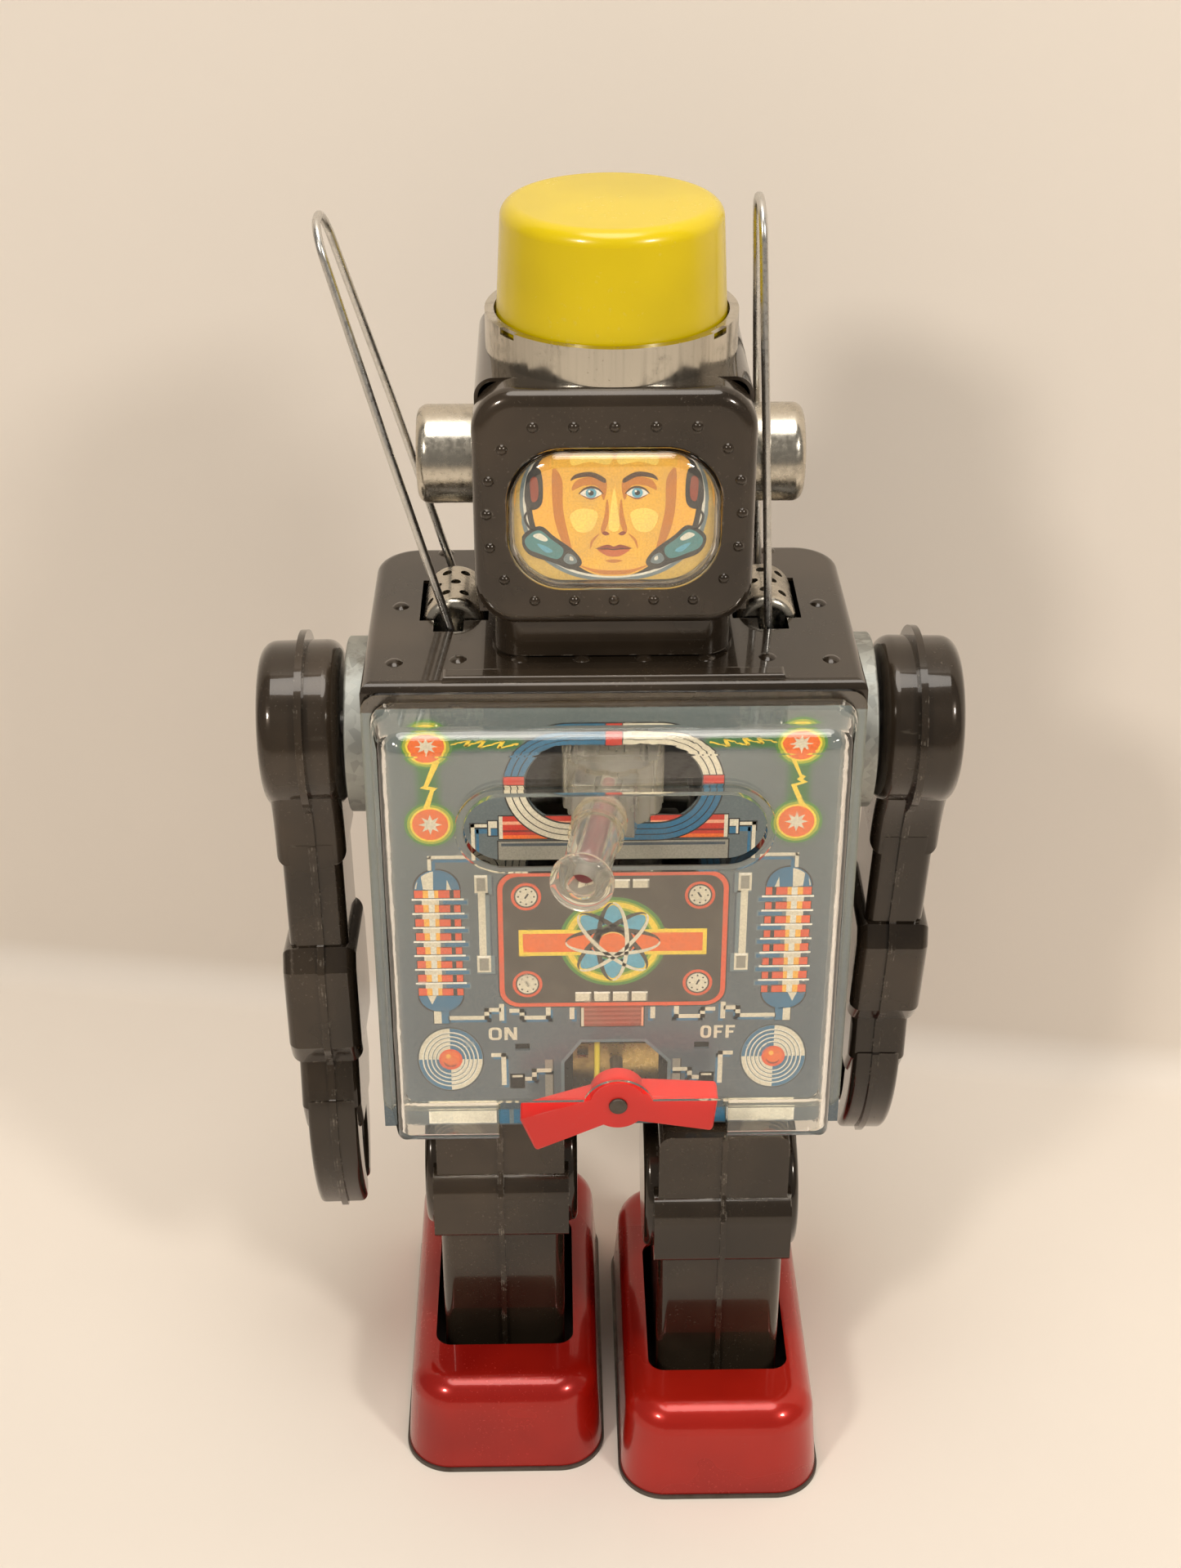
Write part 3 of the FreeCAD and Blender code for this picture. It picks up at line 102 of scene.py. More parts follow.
class Finish:
    """One material: a Principled shader and whatever feeds it."""

    def __init__(self, name, colour, **constants):
        self.material = bpy.data.materials.new(name)
        self.material.use_nodes = True
        self.tree = self.material.node_tree
        self.shader = self.tree.nodes["Principled BSDF"]
        self.output = self.tree.nodes["Material Output"]
        self.feed("Base Color", colour)
        for socket, value in constants.items():
            self.feed(socket.replace("_", " "), value)

    def put(self, socket, value):
        if isinstance(value, Wire):
            self.tree.links.new(value.socket, socket)
        elif isinstance(value, (int, float)):
            socket.default_value = value
        else:
            socket.default_value = tuple(value) + ((1.0,) if socket.type == "RGBA" else ())

    def feed(self, socket, value):
        self.put(self.shader.inputs[socket], value)

    def add(self, kind, settings, values, output=0):
        """A new node: its settings first, then its input values and links; gives back one output."""
        node = self.tree.nodes.new(kind)
        for name, setting in settings.items():
            setattr(node, name, setting)
        for name, value in values.items():
            self.put(node.inputs[name], value)
        return Wire(self, node.outputs[output])

    def place(self):
        """The point on the piece, in metres, in the frame of the whole toy."""
        return self.add("ShaderNodeTexCoord", {}, {}, "Object")

    def along(self, *scale):
        """The point with each axis stretched by scale, in waves to the metre."""
        return self.add("ShaderNodeVectorMath", {"operation": "MULTIPLY"}, {0: self.place(), 1: scale})

    def axis(self, letter):
        return self.add("ShaderNodeSeparateXYZ", {}, {0: self.place()}, letter)

    def speckle(self, scale, detail=4.0, roughness=0.55, stretch=(1, 1, 1)):
        """Noise around 0.5 whose grains are 1/scale metres wide."""
        return self.add("ShaderNodeTexNoise", {}, {"Vector": self.along(*stretch), "Scale": scale,
                                                   "Detail": detail, "Roughness": roughness})

    def cells(self, scale, feature="F1", output="Distance"):
        """Irregular cells about 1/scale metres wide."""
        return self.add("ShaderNodeTexVoronoi", {"feature": feature},
                        {"Vector": self.place(), "Scale": scale}, output)

    def mix(self, share, first, second):
        """Colours first and second, share of the second."""
        return self.add("ShaderNodeMix", {"data_type": "RGBA", "clamp_factor": True},
                        {0: share, 6: first, 7: second}, 2)

    def edges(self, radius):
        """1 on edges and corners that hands rub, 0 on open faces."""
        rounded = self.add("ShaderNodeBevel", {"samples": 4}, {"Radius": radius})
        straight = self.add("ShaderNodeNewGeometry", {}, {}, "Normal")
        same = self.add("ShaderNodeVectorMath", {"operation": "DOT_PRODUCT"},
                        {0: rounded, 1: straight}, "Value")
        return (1 - same).above(0.015, 0.12)

    def see_through_when(self, condition, tint):
        """Where condition is 1, light passes straight through, coloured by tint."""
        through = self.add("ShaderNodeBsdfTransparent", {}, {"Color": tint})
        shown = self.add("ShaderNodeMixShader", {},
                         {0: condition, 1: Wire(self, self.shader.outputs[0]), 2: through})
        self.put(self.output.inputs["Surface"], shown)

    def bump(self, height, distance, strength=1.0):
        self.feed("Normal", self.add("ShaderNodeBump", {}, {"Height": height, "Distance": distance,
                                                            "Strength": strength}))


# ---- Finishes -----------------------------------------------------------------------------------

def dark_lacquer(name, ground, gloss=0.16):
    """Brown-black lacquer baked on tin: a deep gloss, fine dust, hairlines and rubbed edges."""
    tin = Finish(name, ground, Metallic=0.3, Coat_Weight=0.8, Coat_Roughness=0.045, Coat_IOR=1.45,
                 Specular_IOR_Level=0.2)
    cloud = tin.speckle(22.0)
    dust = tin.speckle(1500.0, 2.0).above(0.62, 0.74) * tin.speckle(60.0).above(0.42, 0.68)
    hairline = tin.speckle(90.0, 3.0, 0.6, (1, 14, 0.6)).above(0.66, 0.72)
    hairline = hairline * tin.speckle(35.0).above(0.5, 0.66)
    rub = (tin.edges(0.0006) * tin.speckle(260.0, 5.0, 0.7).above(0.52, 0.66)).limited()
    colour = tin.mix(cloud.above(0.35, 0.7), toned(ground, 0.62), toned(ground, 1.5))
    colour = tin.mix(dust * 0.25 + hairline * 0.25, colour, (0.2, 0.17, 0.13))
    colour = tin.mix(rub * 0.55, colour, (0.33, 0.29, 0.24))
    tin.feed("Base Color", colour)
    tin.feed("Roughness", gloss + cloud * 0.12 + dust * 0.3 + rub * 0.15)
    tin.bump(tin.speckle(45.0, 2.0) * 0.7 + tin.speckle(420.0, 2.0) * 0.05, 0.0004, 0.35)
    return tin


def bright_plate(name, colour, dull, spots=(0.12, 0.085, 0.05), tarnish=0.5, brushed=(1, 1, 1),
                 pitted=0.6):
    """Plated steel with a warm tarnish, dulled patches and fine scratches."""
    plate = Finish(name, colour, Metallic=1.0)
    cloud = plate.speckle(95.0, 6.0, 0.65)
    scratch = plate.speckle(900.0, 2.0, 0.5, brushed)
    pit = plate.speckle(1400.0, 3.0).above(0.66, 0.78)
    stain = cloud.above(0.5, 0.74) * tarnish
    tone = plate.mix(stain, colour, toned(spots, 0.5))
    tone = plate.mix(pit * pitted + (scratch - 0.5) * 0.8 * pitted, tone, spots)
    plate.feed("Base Color", tone)
    plate.feed("Roughness", dull + stain * 0.35 + (scratch - 0.5) * 0.35)
    plate.bump(scratch * 0.5 + cloud * 0.6, 0.00006, 0.5)
    return plate


def galvanised(name):
    """Dull zinc with its frosted spangle."""
    zinc = Finish(name, (0.42, 0.43, 0.4), Metallic=0.85)
    spangle = zinc.cells(420.0, "F1", "Color")
    grain = zinc.add("ShaderNodeSeparateColor", {}, {0: spangle}, 0)
    grime = zinc.speckle(150.0, 5.0, 0.7)
    tone = zinc.mix(grain * 0.6, (0.3, 0.31, 0.29), (0.56, 0.57, 0.53))
    tone = zinc.mix(grime.above(0.52, 0.75) * 0.7, tone, (0.16, 0.14, 0.11))
    zinc.feed("Base Color", tone)
    zinc.feed("Roughness", 0.38 + grain * 0.12 + grime * 0.15)
    zinc.bump(grime, 0.00008, 0.5)
    return zinc


def red_lacquer(name):
    """Deep red lacquer over tin, darker and lighter in broad patches, with small nicks on its edges."""
    red = Finish(name, (0.3, 0.006, 0.004), Metallic=0.3, Coat_Weight=0.7, Coat_Roughness=0.06,
                 Coat_IOR=1.42, Specular_IOR_Level=0.3)
    cloud = red.speckle(18.0, 3.0)
    nick = (red.edges(0.0007) * red.speckle(300.0, 5.0, 0.75).above(0.56, 0.68)).limited()
    dust = red.speckle(1300.0, 2.0).above(0.64, 0.76) * red.speckle(50.0).above(0.45, 0.7)
    tone = red.mix(cloud.above(0.3, 0.72), (0.27, 0.004, 0.002), (0.46, 0.013, 0.005))
    tone = red.mix(dust * 0.15, tone, (0.4, 0.22, 0.18))
    tone = red.mix(nick * 0.7, tone, (0.09, 0.03, 0.02))
    red.feed("Base Color", tone)
    red.feed("Roughness", 0.22 + cloud * 0.1 + dust * 0.25)
    red.bump(red.speckle(38.0, 2.0), 0.0005, 0.3)
    return red


def moulded(name, colour, rough, glow=0.0, wear=0.35):
    """Injection-moulded plastic: faint flow marks, a soft sheen and scuffed edges."""
    plastic = Finish(name, colour, Subsurface_Weight=glow, Subsurface_Scale=0.004, IOR=1.49,
                     Subsurface_Radius=(1.0, 0.6, 0.2), Coat_Weight=0.2, Coat_Roughness=0.05)
    flow = plastic.speckle(28.0, 2.0)
    scuff = plastic.speckle(700.0, 3.0, 0.6).above(0.6, 0.76) * plastic.speckle(55.0).above(0.46, 0.7)
    rub = plastic.edges(0.0005) * wear
    chalky = tuple(0.5 * c + 0.18 for c in colour)
    tone = plastic.mix(flow.above(0.3, 0.7), toned(colour, 0.9), toned(colour, 1.06))
    tone = plastic.mix(scuff * 0.18 + rub * plastic.speckle(240.0).above(0.45, 0.6), tone, chalky)
    plastic.feed("Base Color", tone)
    plastic.feed("Roughness", rough + scuff * 0.2 + flow * 0.05)
    plastic.bump(flow * 0.6 + scuff * 0.02, 0.0003, 0.25)
    return plastic


def clear_plastic(name, tint, rough, ripple, haze, ior=1.47, clarity=1.0):
    """Clear plastic gone yellow along its edges. Rays from the lamps pass it, so what is behind stays lit."""
    clear = Finish(name, tint, IOR=ior, Transmission_Weight=clarity, Specular_IOR_Level=0.6, Coat_Weight=0.4,
                   Coat_Roughness=0.02)
    scratch = clear.speckle(160.0, 3.0, 0.6, (1, 9, 1)).above(0.62, 0.7)
    bloom = clear.speckle(75.0, 4.0).above(0.45, 0.75)
    aged = tuple(c * share for c, share in zip(tint, (0.86, 0.76, 0.52)))
    clear.feed("Base Color", clear.mix(clear.edges(0.0011) * 0.7, tint, aged))
    clear.feed("Roughness", rough + scratch * 0.12 + bloom * haze)
    clear.bump(clear.speckle(ripple, 2.0) + scratch * 0.05, 0.0004, 0.18)
    clear.see_through_when(clear.add("ShaderNodeLightPath", {}, {}, "Is Shadow Ray"),
                           tuple(0.5 + 0.5 * c for c in tint))
    return clear


def ink(name, colour, gloss=0.3):
    """Lithographed ink: a fine halftone grain, tiny specks where it lifted, and a varnish over it."""
    print_ink = Finish(name, colour, Coat_Weight=0.6, Coat_Roughness=0.12, Specular_IOR_Level=0.4)
    grain = print_ink.speckle(2600.0, 2.0)
    patch = print_ink.speckle(160.0, 3.0)
    lifted = print_ink.speckle(1900.0, 3.0, 0.7).above(0.72, 0.78)
    tone = print_ink.mix(grain.above(0.3, 0.7), toned(colour, 0.86), toned(colour, 1.08))
    tone = print_ink.mix(patch.above(0.4, 0.75) * 0.16, tone, (0.22, 0.19, 0.15))
    tone = print_ink.mix(lifted * 0.6, tone, (0.3, 0.29, 0.27))
    print_ink.feed("Base Color", tone)
    print_ink.feed("Roughness", gloss + patch * 0.15)
    return print_ink


def bare_steel(name, colour, rough, grime=0.6):
    """Unplated sheet steel with a ground face and brown grime."""
    steel = Finish(name, colour, Metallic=0.9)
    cloud = steel.speckle(130.0, 5.0, 0.65)
    grind = steel.speckle(800.0, 2.0, 0.5, (1, 1, 8))
    tone = steel.mix(cloud.above(0.46, 0.72) * grime, colour, (0.075, 0.055, 0.04))
    steel.feed("Base Color", steel.mix((grind - 0.5) * 0.5, tone, (0.05, 0.045, 0.04)))
    steel.feed("Roughness", rough + cloud * 0.2 + (grind - 0.5) * 0.2)
    steel.bump(grind * 0.3 + cloud * 0.5, 0.00006, 0.5)
    return steel


# ---- Drawing in ink -----------------------------------------------------------------------------

def oval(x, z, rx, rz=None, start=0.0, end=360.0, steps=48):
    """Points of an oval, or of its arc from start to end degrees, both ends included for an arc."""
    rz = rx if rz is None else rz
    count = steps if end - start >= 360.0 else steps + 1
    turns = [math.radians(start + (end - start) * i / steps) for i in range(count)]
    return [(x + rx * math.cos(t), z + rz * math.sin(t)) for t in turns]


def frame_box(x0, z0, x1, z1, r=0.0, steps=6):
    """An upright box with corners of radius r."""
    if r == 0.0:
        return [(x0, z0), (x1, z0), (x1, z1), (x0, z1)]
    points = []
    corners = ((x1 - r, z0 + r, 270), (x1 - r, z1 - r, 0), (x0 + r, z1 - r, 90), (x0 + r, z0 + r, 180))
    for cx, cz, start in corners:
        points += oval(cx, cz, r, r, start, start + 90, steps)
    return points


def curved(points, steps=6, closed=True):
    """A smooth line through the points."""
    count = len(points)
    spans = count if closed else count - 1
    line = []
    for i in range(spans):
        a, b, c, d = (points[(i + k) % count] if closed else points[max(0, min(count - 1, i + k))]
                      for k in (-1, 0, 1, 2))
        for j in range(steps):
            t = j / steps
            line.append(tuple(0.5 * (2 * b[m] + (c[m] - a[m]) * t
                                     + (2 * a[m] - 5 * b[m] + 4 * c[m] - d[m]) * t * t
                                     + (3 * b[m] - a[m] - 3 * c[m] + d[m]) * t ** 3) for m in (0, 1)))
    if not closed:
        line.append(points[-1])
    return line


def stroke(points, width, tip=None):
    """The outline of a pen stroke along the points, narrowing to tip at both ends."""
    tip = width if tip is None else tip
    count = len(points)
    sides = ([], [])
    for i, here in enumerate(points):
        before = points[max(0, i - 1)]
        after = points[min(count - 1, i + 1)]
        run = Vector((after[0] - before[0], after[1] - before[1])).normalized()
        half = 0.5 * (tip + (width - tip) * math.sin(math.pi * i / (count - 1)))
        if 0 < i < count - 1:
            first = Vector((here[0] - before[0], here[1] - before[1])).normalized()
            half = half / max(0.5, abs(first.dot(run)))
        for side, sign in zip(sides, left_and_right):
            side.append((here[0] - sign * run.y * half, here[1] + sign * run.x * half))
    return sides[0] + sides[1][::-1]


class Artwork:
    """Thin coloured inks on a plate that faces the viewer, each colour one closed mesh of its own."""

    clearance = 0.01 * MM

    def __init__(self, name, body, slot, face_y, centre_x, base_z, lift):
        self.name, self.body, self.slot = name, body, slot
        self.face_y, self.centre_x, self.base_z, self.lift = face_y, centre_x, base_z, lift
        self.inks = {}

    def patch(self, colour, outline, layer):
        """A filled shape; points in millimetres from the plate's middle and its lower edge."""
        verts, faces = self.inks.setdefault(colour, ([], []))
        turn = sum(a[0] * b[1] - b[0] * a[1] for a, b in zip(outline, outline[1:] + outline[:1]))
        outline = outline if turn > 0 else outline[::-1]
        start, count = len(verts), len(outline)
        for y in (self.face_y - self.lift * layer, self.face_y - self.clearance):
            verts.extend((self.centre_x + x * MM, y, self.base_z + z * MM) for x, z in outline)
        faces.append(tuple(range(start, start + count)))
        faces.append(tuple(range(start + 2 * count - 1, start + count - 1, -1)))
        for i in range(count):
            j = (i + 1) % count
            faces.append((start + j, start + i, start + count + i, start + count + j))

    def box(self, colour, side, x0, z0, x1, z1, layer):
        """A box on one side of the middle for side 1, and its mirror image for side -1."""
        low, high = sorted((side * x0, side * x1))
        self.patch(colour, frame_box(low, z0, high, z1), layer)

    def band(self, colour, outer, inner, layer):
        """An open strip between two lines with the same number of points."""
        for i in range(len(outer) - 1):
            self.patch(colour, [outer[i], outer[i + 1], inner[i + 1], inner[i]], layer)

    def ring(self, colour, outer, inner, layer):
        """A ring in one closed piece."""
        verts, faces = self.inks.setdefault(colour, ([], []))
        start, count = len(verts), len(outer)
        for line in (outer, inner):
            for y in (self.face_y - self.lift * layer, self.face_y - self.clearance):
                verts.extend((self.centre_x + x * MM, y, self.base_z + z * MM) for x, z in line)
        front_out, back_out, front_in, back_in = (start + k * count for k in range(4))
        for i in range(count):
            j = (i + 1) % count
            faces.append((front_out + i, front_out + j, front_in + j, front_in + i))
            faces.append((back_out + j, back_out + i, back_in + i, back_in + j))
            faces.append((front_out + j, front_out + i, back_out + i, back_out + j))
            faces.append((front_in + i, front_in + j, back_in + j, back_in + i))

    def finish(self, inks):
        for colour, (verts, faces) in self.inks.items():
            mesh = bpy.data.meshes.new(f"{self.name}_{colour}")
            mesh.from_pydata(verts, [], faces)
            mesh.validate()
            piece = bpy.data.objects.new(f"{self.name}_{colour}", mesh)
            bpy.context.scene.collection.objects.link(piece)
            mesh.materials.append(inks[colour].material)
            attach(piece, self.body)


# ---- The printed chest --------------------------------------------------------------------------

def star(x, z, outer, inner, points=8, turn=90.0):
    """Points of a star with one ray at turn degrees."""
    line = []
    for i in range(2 * points):
        angle = math.radians(turn + 180.0 * i / points)
        r = outer if i % 2 == 0 else inner
        line.append((x + r * math.cos(angle), z + r * math.sin(angle)))
    return line


def outlined_box(art, colour, x0, z0, x1, z1, layer, edge=0.25, mirror=True):
    """A box of ink with a dark line round it, on both sides of the chest."""
    sides = left_and_right if mirror else (1,)
    for side in sides:
        for ink_name, grow, up in (("black", edge, 0), (colour, 0.0, 1)):
            art.box(ink_name, side, x0 - grow, z0 - grow, x1 + grow, z1 + grow, layer + up)


def draw_discs(art):
    """Two star discs on each side with lightning between them and towards the ring."""
    for side in left_and_right:
        for x, z in ((39.8, 103.0), (39.6, 83.6)):
            art.patch("leaf", oval(side * x, z, 5.6, 5.5), 1)
            art.patch("lime", oval(side * x, z, 5.0, 4.95), 2)
            art.patch("yellow", oval(side * x, z, 4.35), 4)
            art.patch("orange", oval(side * x, z, 3.9), 5)
            art.patch("cream", star(side * x, z, 2.55, 1.2), 6)
    bolt_left = [(-38.3, 99.9), (-37.0, 99.3), (-39.7, 93.2), (-37.7, 92.8), (-38.5, 92.0), (-39.7, 87.4),
                 (-41.1, 87.4), (-39.3, 92.2), (-41.5, 92.8), (-40.6, 93.4)]
    art.patch("yellow", bolt_left, 3)
    bolt_right = [(37.6, 99.6), (38.7, 99.3), (40.2, 95.4), (41.1, 94.9), (40.5, 94.2), (41.6, 93.5),
                  (39.2, 92.6), (41.0, 88.4), (42.0, 87.2), (40.4, 87.0), (38.0, 92.9), (40.2, 93.5),
                  (39.2, 94.2), (39.8, 94.8)]
    art.patch("yellow", bolt_right, 3)
    jagged = [(20.2, 103.7), (24.5, 102.4), (23.3, 104.4), (28.6, 102.4), (27.4, 104.7), (31.6, 103.0),
              (30.4, 104.7), (34.6, 103.4)]
    for side in left_and_right:
        line = [(side * x, z) for x, z in jagged]
        for a, b, wide in zip(line, line[1:], (0.35, 0.7) * 4):
            art.patch("yellow", stroke([a, b], wide), 3)


def draw_ring(art):
    """The three-banded ring round the gun's opening: blue and cream quarters with red joints."""
    z0, z1, half = 79.0, 107.3, 23.5
    art.ring("black", frame_box(-half - 0.3, z0 - 0.3, half + 0.3, z1 + 0.3, 14.3, 16),
             frame_box(-19.05, 83.5, 19.05, 103.1, 9.7, 16), 4)
    middle = (z0 + z1) / 2
    for band in range(3):
        inset = band * 1.45
        outer = frame_box(-half + inset, z0 + inset, half - inset, z1 - inset, 14.1 - inset, 16)
        deep = inset + 1.2
        inner = frame_box(-half + deep, z0 + deep, half - deep, z1 - deep, 14.1 - deep, 16)
        count = len(outer)
        for i in range(count):
            j = (i + 1) % count
            cx = (outer[i][0] + outer[j][0]) / 2
            cz = (outer[i][1] + outer[j][1]) / 2
            colour = "blue" if (cx < 0) == (cz > middle) else "cream"
            piece = [outer[i], outer[j], inner[j], inner[i]]
            if abs(outer[i][0]) < 10 and abs(outer[j][0]) < 10 and outer[i][0] * outer[j][0] < 0:
                for sign in left_and_right:
                    half_piece = [(x if x * sign > 0 else 0.0, z) for x, z in piece]
                    shade = "blue" if (sign < 0) == (cz > middle) else "cream"
                    art.patch(shade, half_piece, 5)
            else:
                art.patch(colour, piece, 5)
    outlined_box(art, "red", -1.7, 103.0, 1.7, 107.3, 6, 0.2, mirror=False)
    outlined_box(art, "red", -1.7, 79.0, 1.7, 83.3, 6, 0.2, mirror=False)
    outlined_box(art, "red", 19.2, 93.4, 23.6, 95.4, 6, 0.2)


def draw_cylinders(art):
    """Red cylinders behind the ring, their pipes, and the grey box under them."""
    for side in left_and_right:
        for x0, x1, z0, z1, colour, layer in (
                (8.0, 25.0, 79.2, 85.5, "black", 1), (8.0, 24.0, 79.5, 85.2, "red", 2),
                (8.0, 24.0, 83.1, 83.9, "peach", 3), (8.0, 24.0, 81.2, 81.7, "maroon", 3),
                (8.0, 24.0, 79.5, 80.4, "orange", 3),
                (24.0, 24.8, 79.5, 85.2, "cream", 3), (25.0, 27.4, 80.1, 84.3, "black", 1),
                (25.2, 27.1, 82.3, 84.0, "cream", 2), (25.2, 27.1, 80.4, 82.1, "blue", 2),
                (26.6, 27.1, 80.4, 84.0, "cream", 3), (27.4, 30.9, 82.5, 83.3, "cream", 3),
                (27.4, 31.2, 81.0, 83.6, "black", 1), (27.4, 30.2, 80.9, 82.1, "blue", 2),
                (30.1, 30.9, 74.6, 83.3, "cream", 3), (29.2, 29.8, 74.6, 82.0, "blue", 2)):
            art.box(colour, side, x0, z0, x1, z1, layer)
    outlined_box(art, "stone", -25.0, 73.0, 25.0, 78.8, 1, 0.3, mirror=False)
    art.patch("slate", frame_box(-24.4, 77.6, 24.4, 78.3), 3)


def draw_panel(art):
    """The instrument panel: red-orange border, four dials, white keys and the orange bar."""
    art.patch("black", frame_box(-25.8, 34.4, 25.8, 71.4, 4.7), 1)
    art.patch("vermilion", frame_box(-25.5, 34.7, 25.5, 71.1, 4.5), 2)
    art.patch("umber", frame_box(-24.4, 35.7, 24.4, 70.0, 3.6), 3)
    for side in left_and_right:
        for z, hand in ((64.7, 56.0), (41.0, 118.0)):
            x = side * 19.2
            art.patch("vermilion", oval(x, z, 3.35, 3.6), 4)
            art.patch("umber", oval(x, z, 2.7, 2.95), 5)
            art.patch("cream", oval(x, z, 2.35, 2.55), 6)
            for k in range(8):
                angle = math.radians(45 * k)
                dot = oval(x + 1.75 * math.cos(angle), z + 1.95 * math.sin(angle), 0.22, steps=10)
                art.patch("black", dot, 7)
            lean = math.radians(hand if side < 0 else 180 - hand)
            dx, dz = 0.85 * math.cos(lean), 0.95 * math.sin(lean)
            art.patch("black", stroke([(x - 0.6 * dx, z - 0.6 * dz), (x + dx, z + dz)], 0.42), 7)
    for z0, z1 in ((66.8, 69.1), (36.1, 38.7)):
        for k in range(4):
            x0 = -8.4 + 4.25 * k
            art.patch("cream", frame_box(x0, z0, x0 + 3.6, z1), 4)
            art.patch("white", frame_box(x0, z1 - 0.45, x0 + 3.6, z1), 5)
            art.patch("stone", frame_box(x0 + 3.25, z0, x0 + 3.6, z1 - 0.45), 5)
    art.patch("yellow", frame_box(-21.0, 48.8, 21.0, 55.8), 5)
    art.patch("orange", frame_box(-20.1, 49.8, 20.1, 54.8), 7)


def draw_atom(art):
    """The atom sign: a green and yellow halo, four crossing orbits and an orange heart."""
    z = 52.4
    tip, belly = 10.5, 3.2
    halo_rings = (("leaf", 12.0, 4), ("lime", 11.2, 4.5), ("yellow", 10.7, 6), ("lime", 9.4, 6.5),
                  ("leaf", 8.8, 6.7))
    for colour, r, layer in halo_rings:
        art.patch(colour, oval(0, z, r), layer)
    art.patch("yellow", frame_box(-20.9, 48.9, 20.9, 55.7), 6.8)

    def orbit_arc(angle, sign, reach=tip, wide=belly, start=0.0, end=180.0, steps=18):
        """Half of a narrow orbit turned by angle; sign picks the half."""
        turn = math.radians(angle)
        line = []
        for i in range(steps + 1):
            t = math.radians(start + (end - start) * i / steps)
            u, v = reach * math.cos(t), sign * wide * math.sin(t)
            line.append((u * math.cos(turn) - v * math.sin(turn),
                         z + u * math.sin(turn) + v * math.cos(turn)))
        return line

    for angle in (0, 45, 90, 135):
        for end in (0, 180):
            sides = [orbit_arc(angle + end, sign, tip - 0.6, belly - 0.5, 0, 62) for sign in left_and_right]
            art.patch("orange" if angle == 0 else "sky", sides[0] + sides[1][::-1], 8)
    art.patch("umber", oval(0, z, 4.7, 4.5), 9)
    for angle, dark in ((0, 1), (45, 1), (90, 1), (135, -1)):
        art.patch("umber", stroke(orbit_arc(angle, dark), 1.25, 0.15), 10)
    art.patch("orange", oval(0, z - 0.2, 3.0, 2.7, steps=24), 11)
    art.patch("gold", stroke(orbit_arc(0, 1, 2.9, 2.6, 35, 145), 0.3, 0.1), 11.5)
    for angle, dark in ((0, 1), (45, 1), (90, 1), (135, -1)):
        art.patch("cream", stroke(orbit_arc(angle, -dark), 0.95, 0.3), 12)


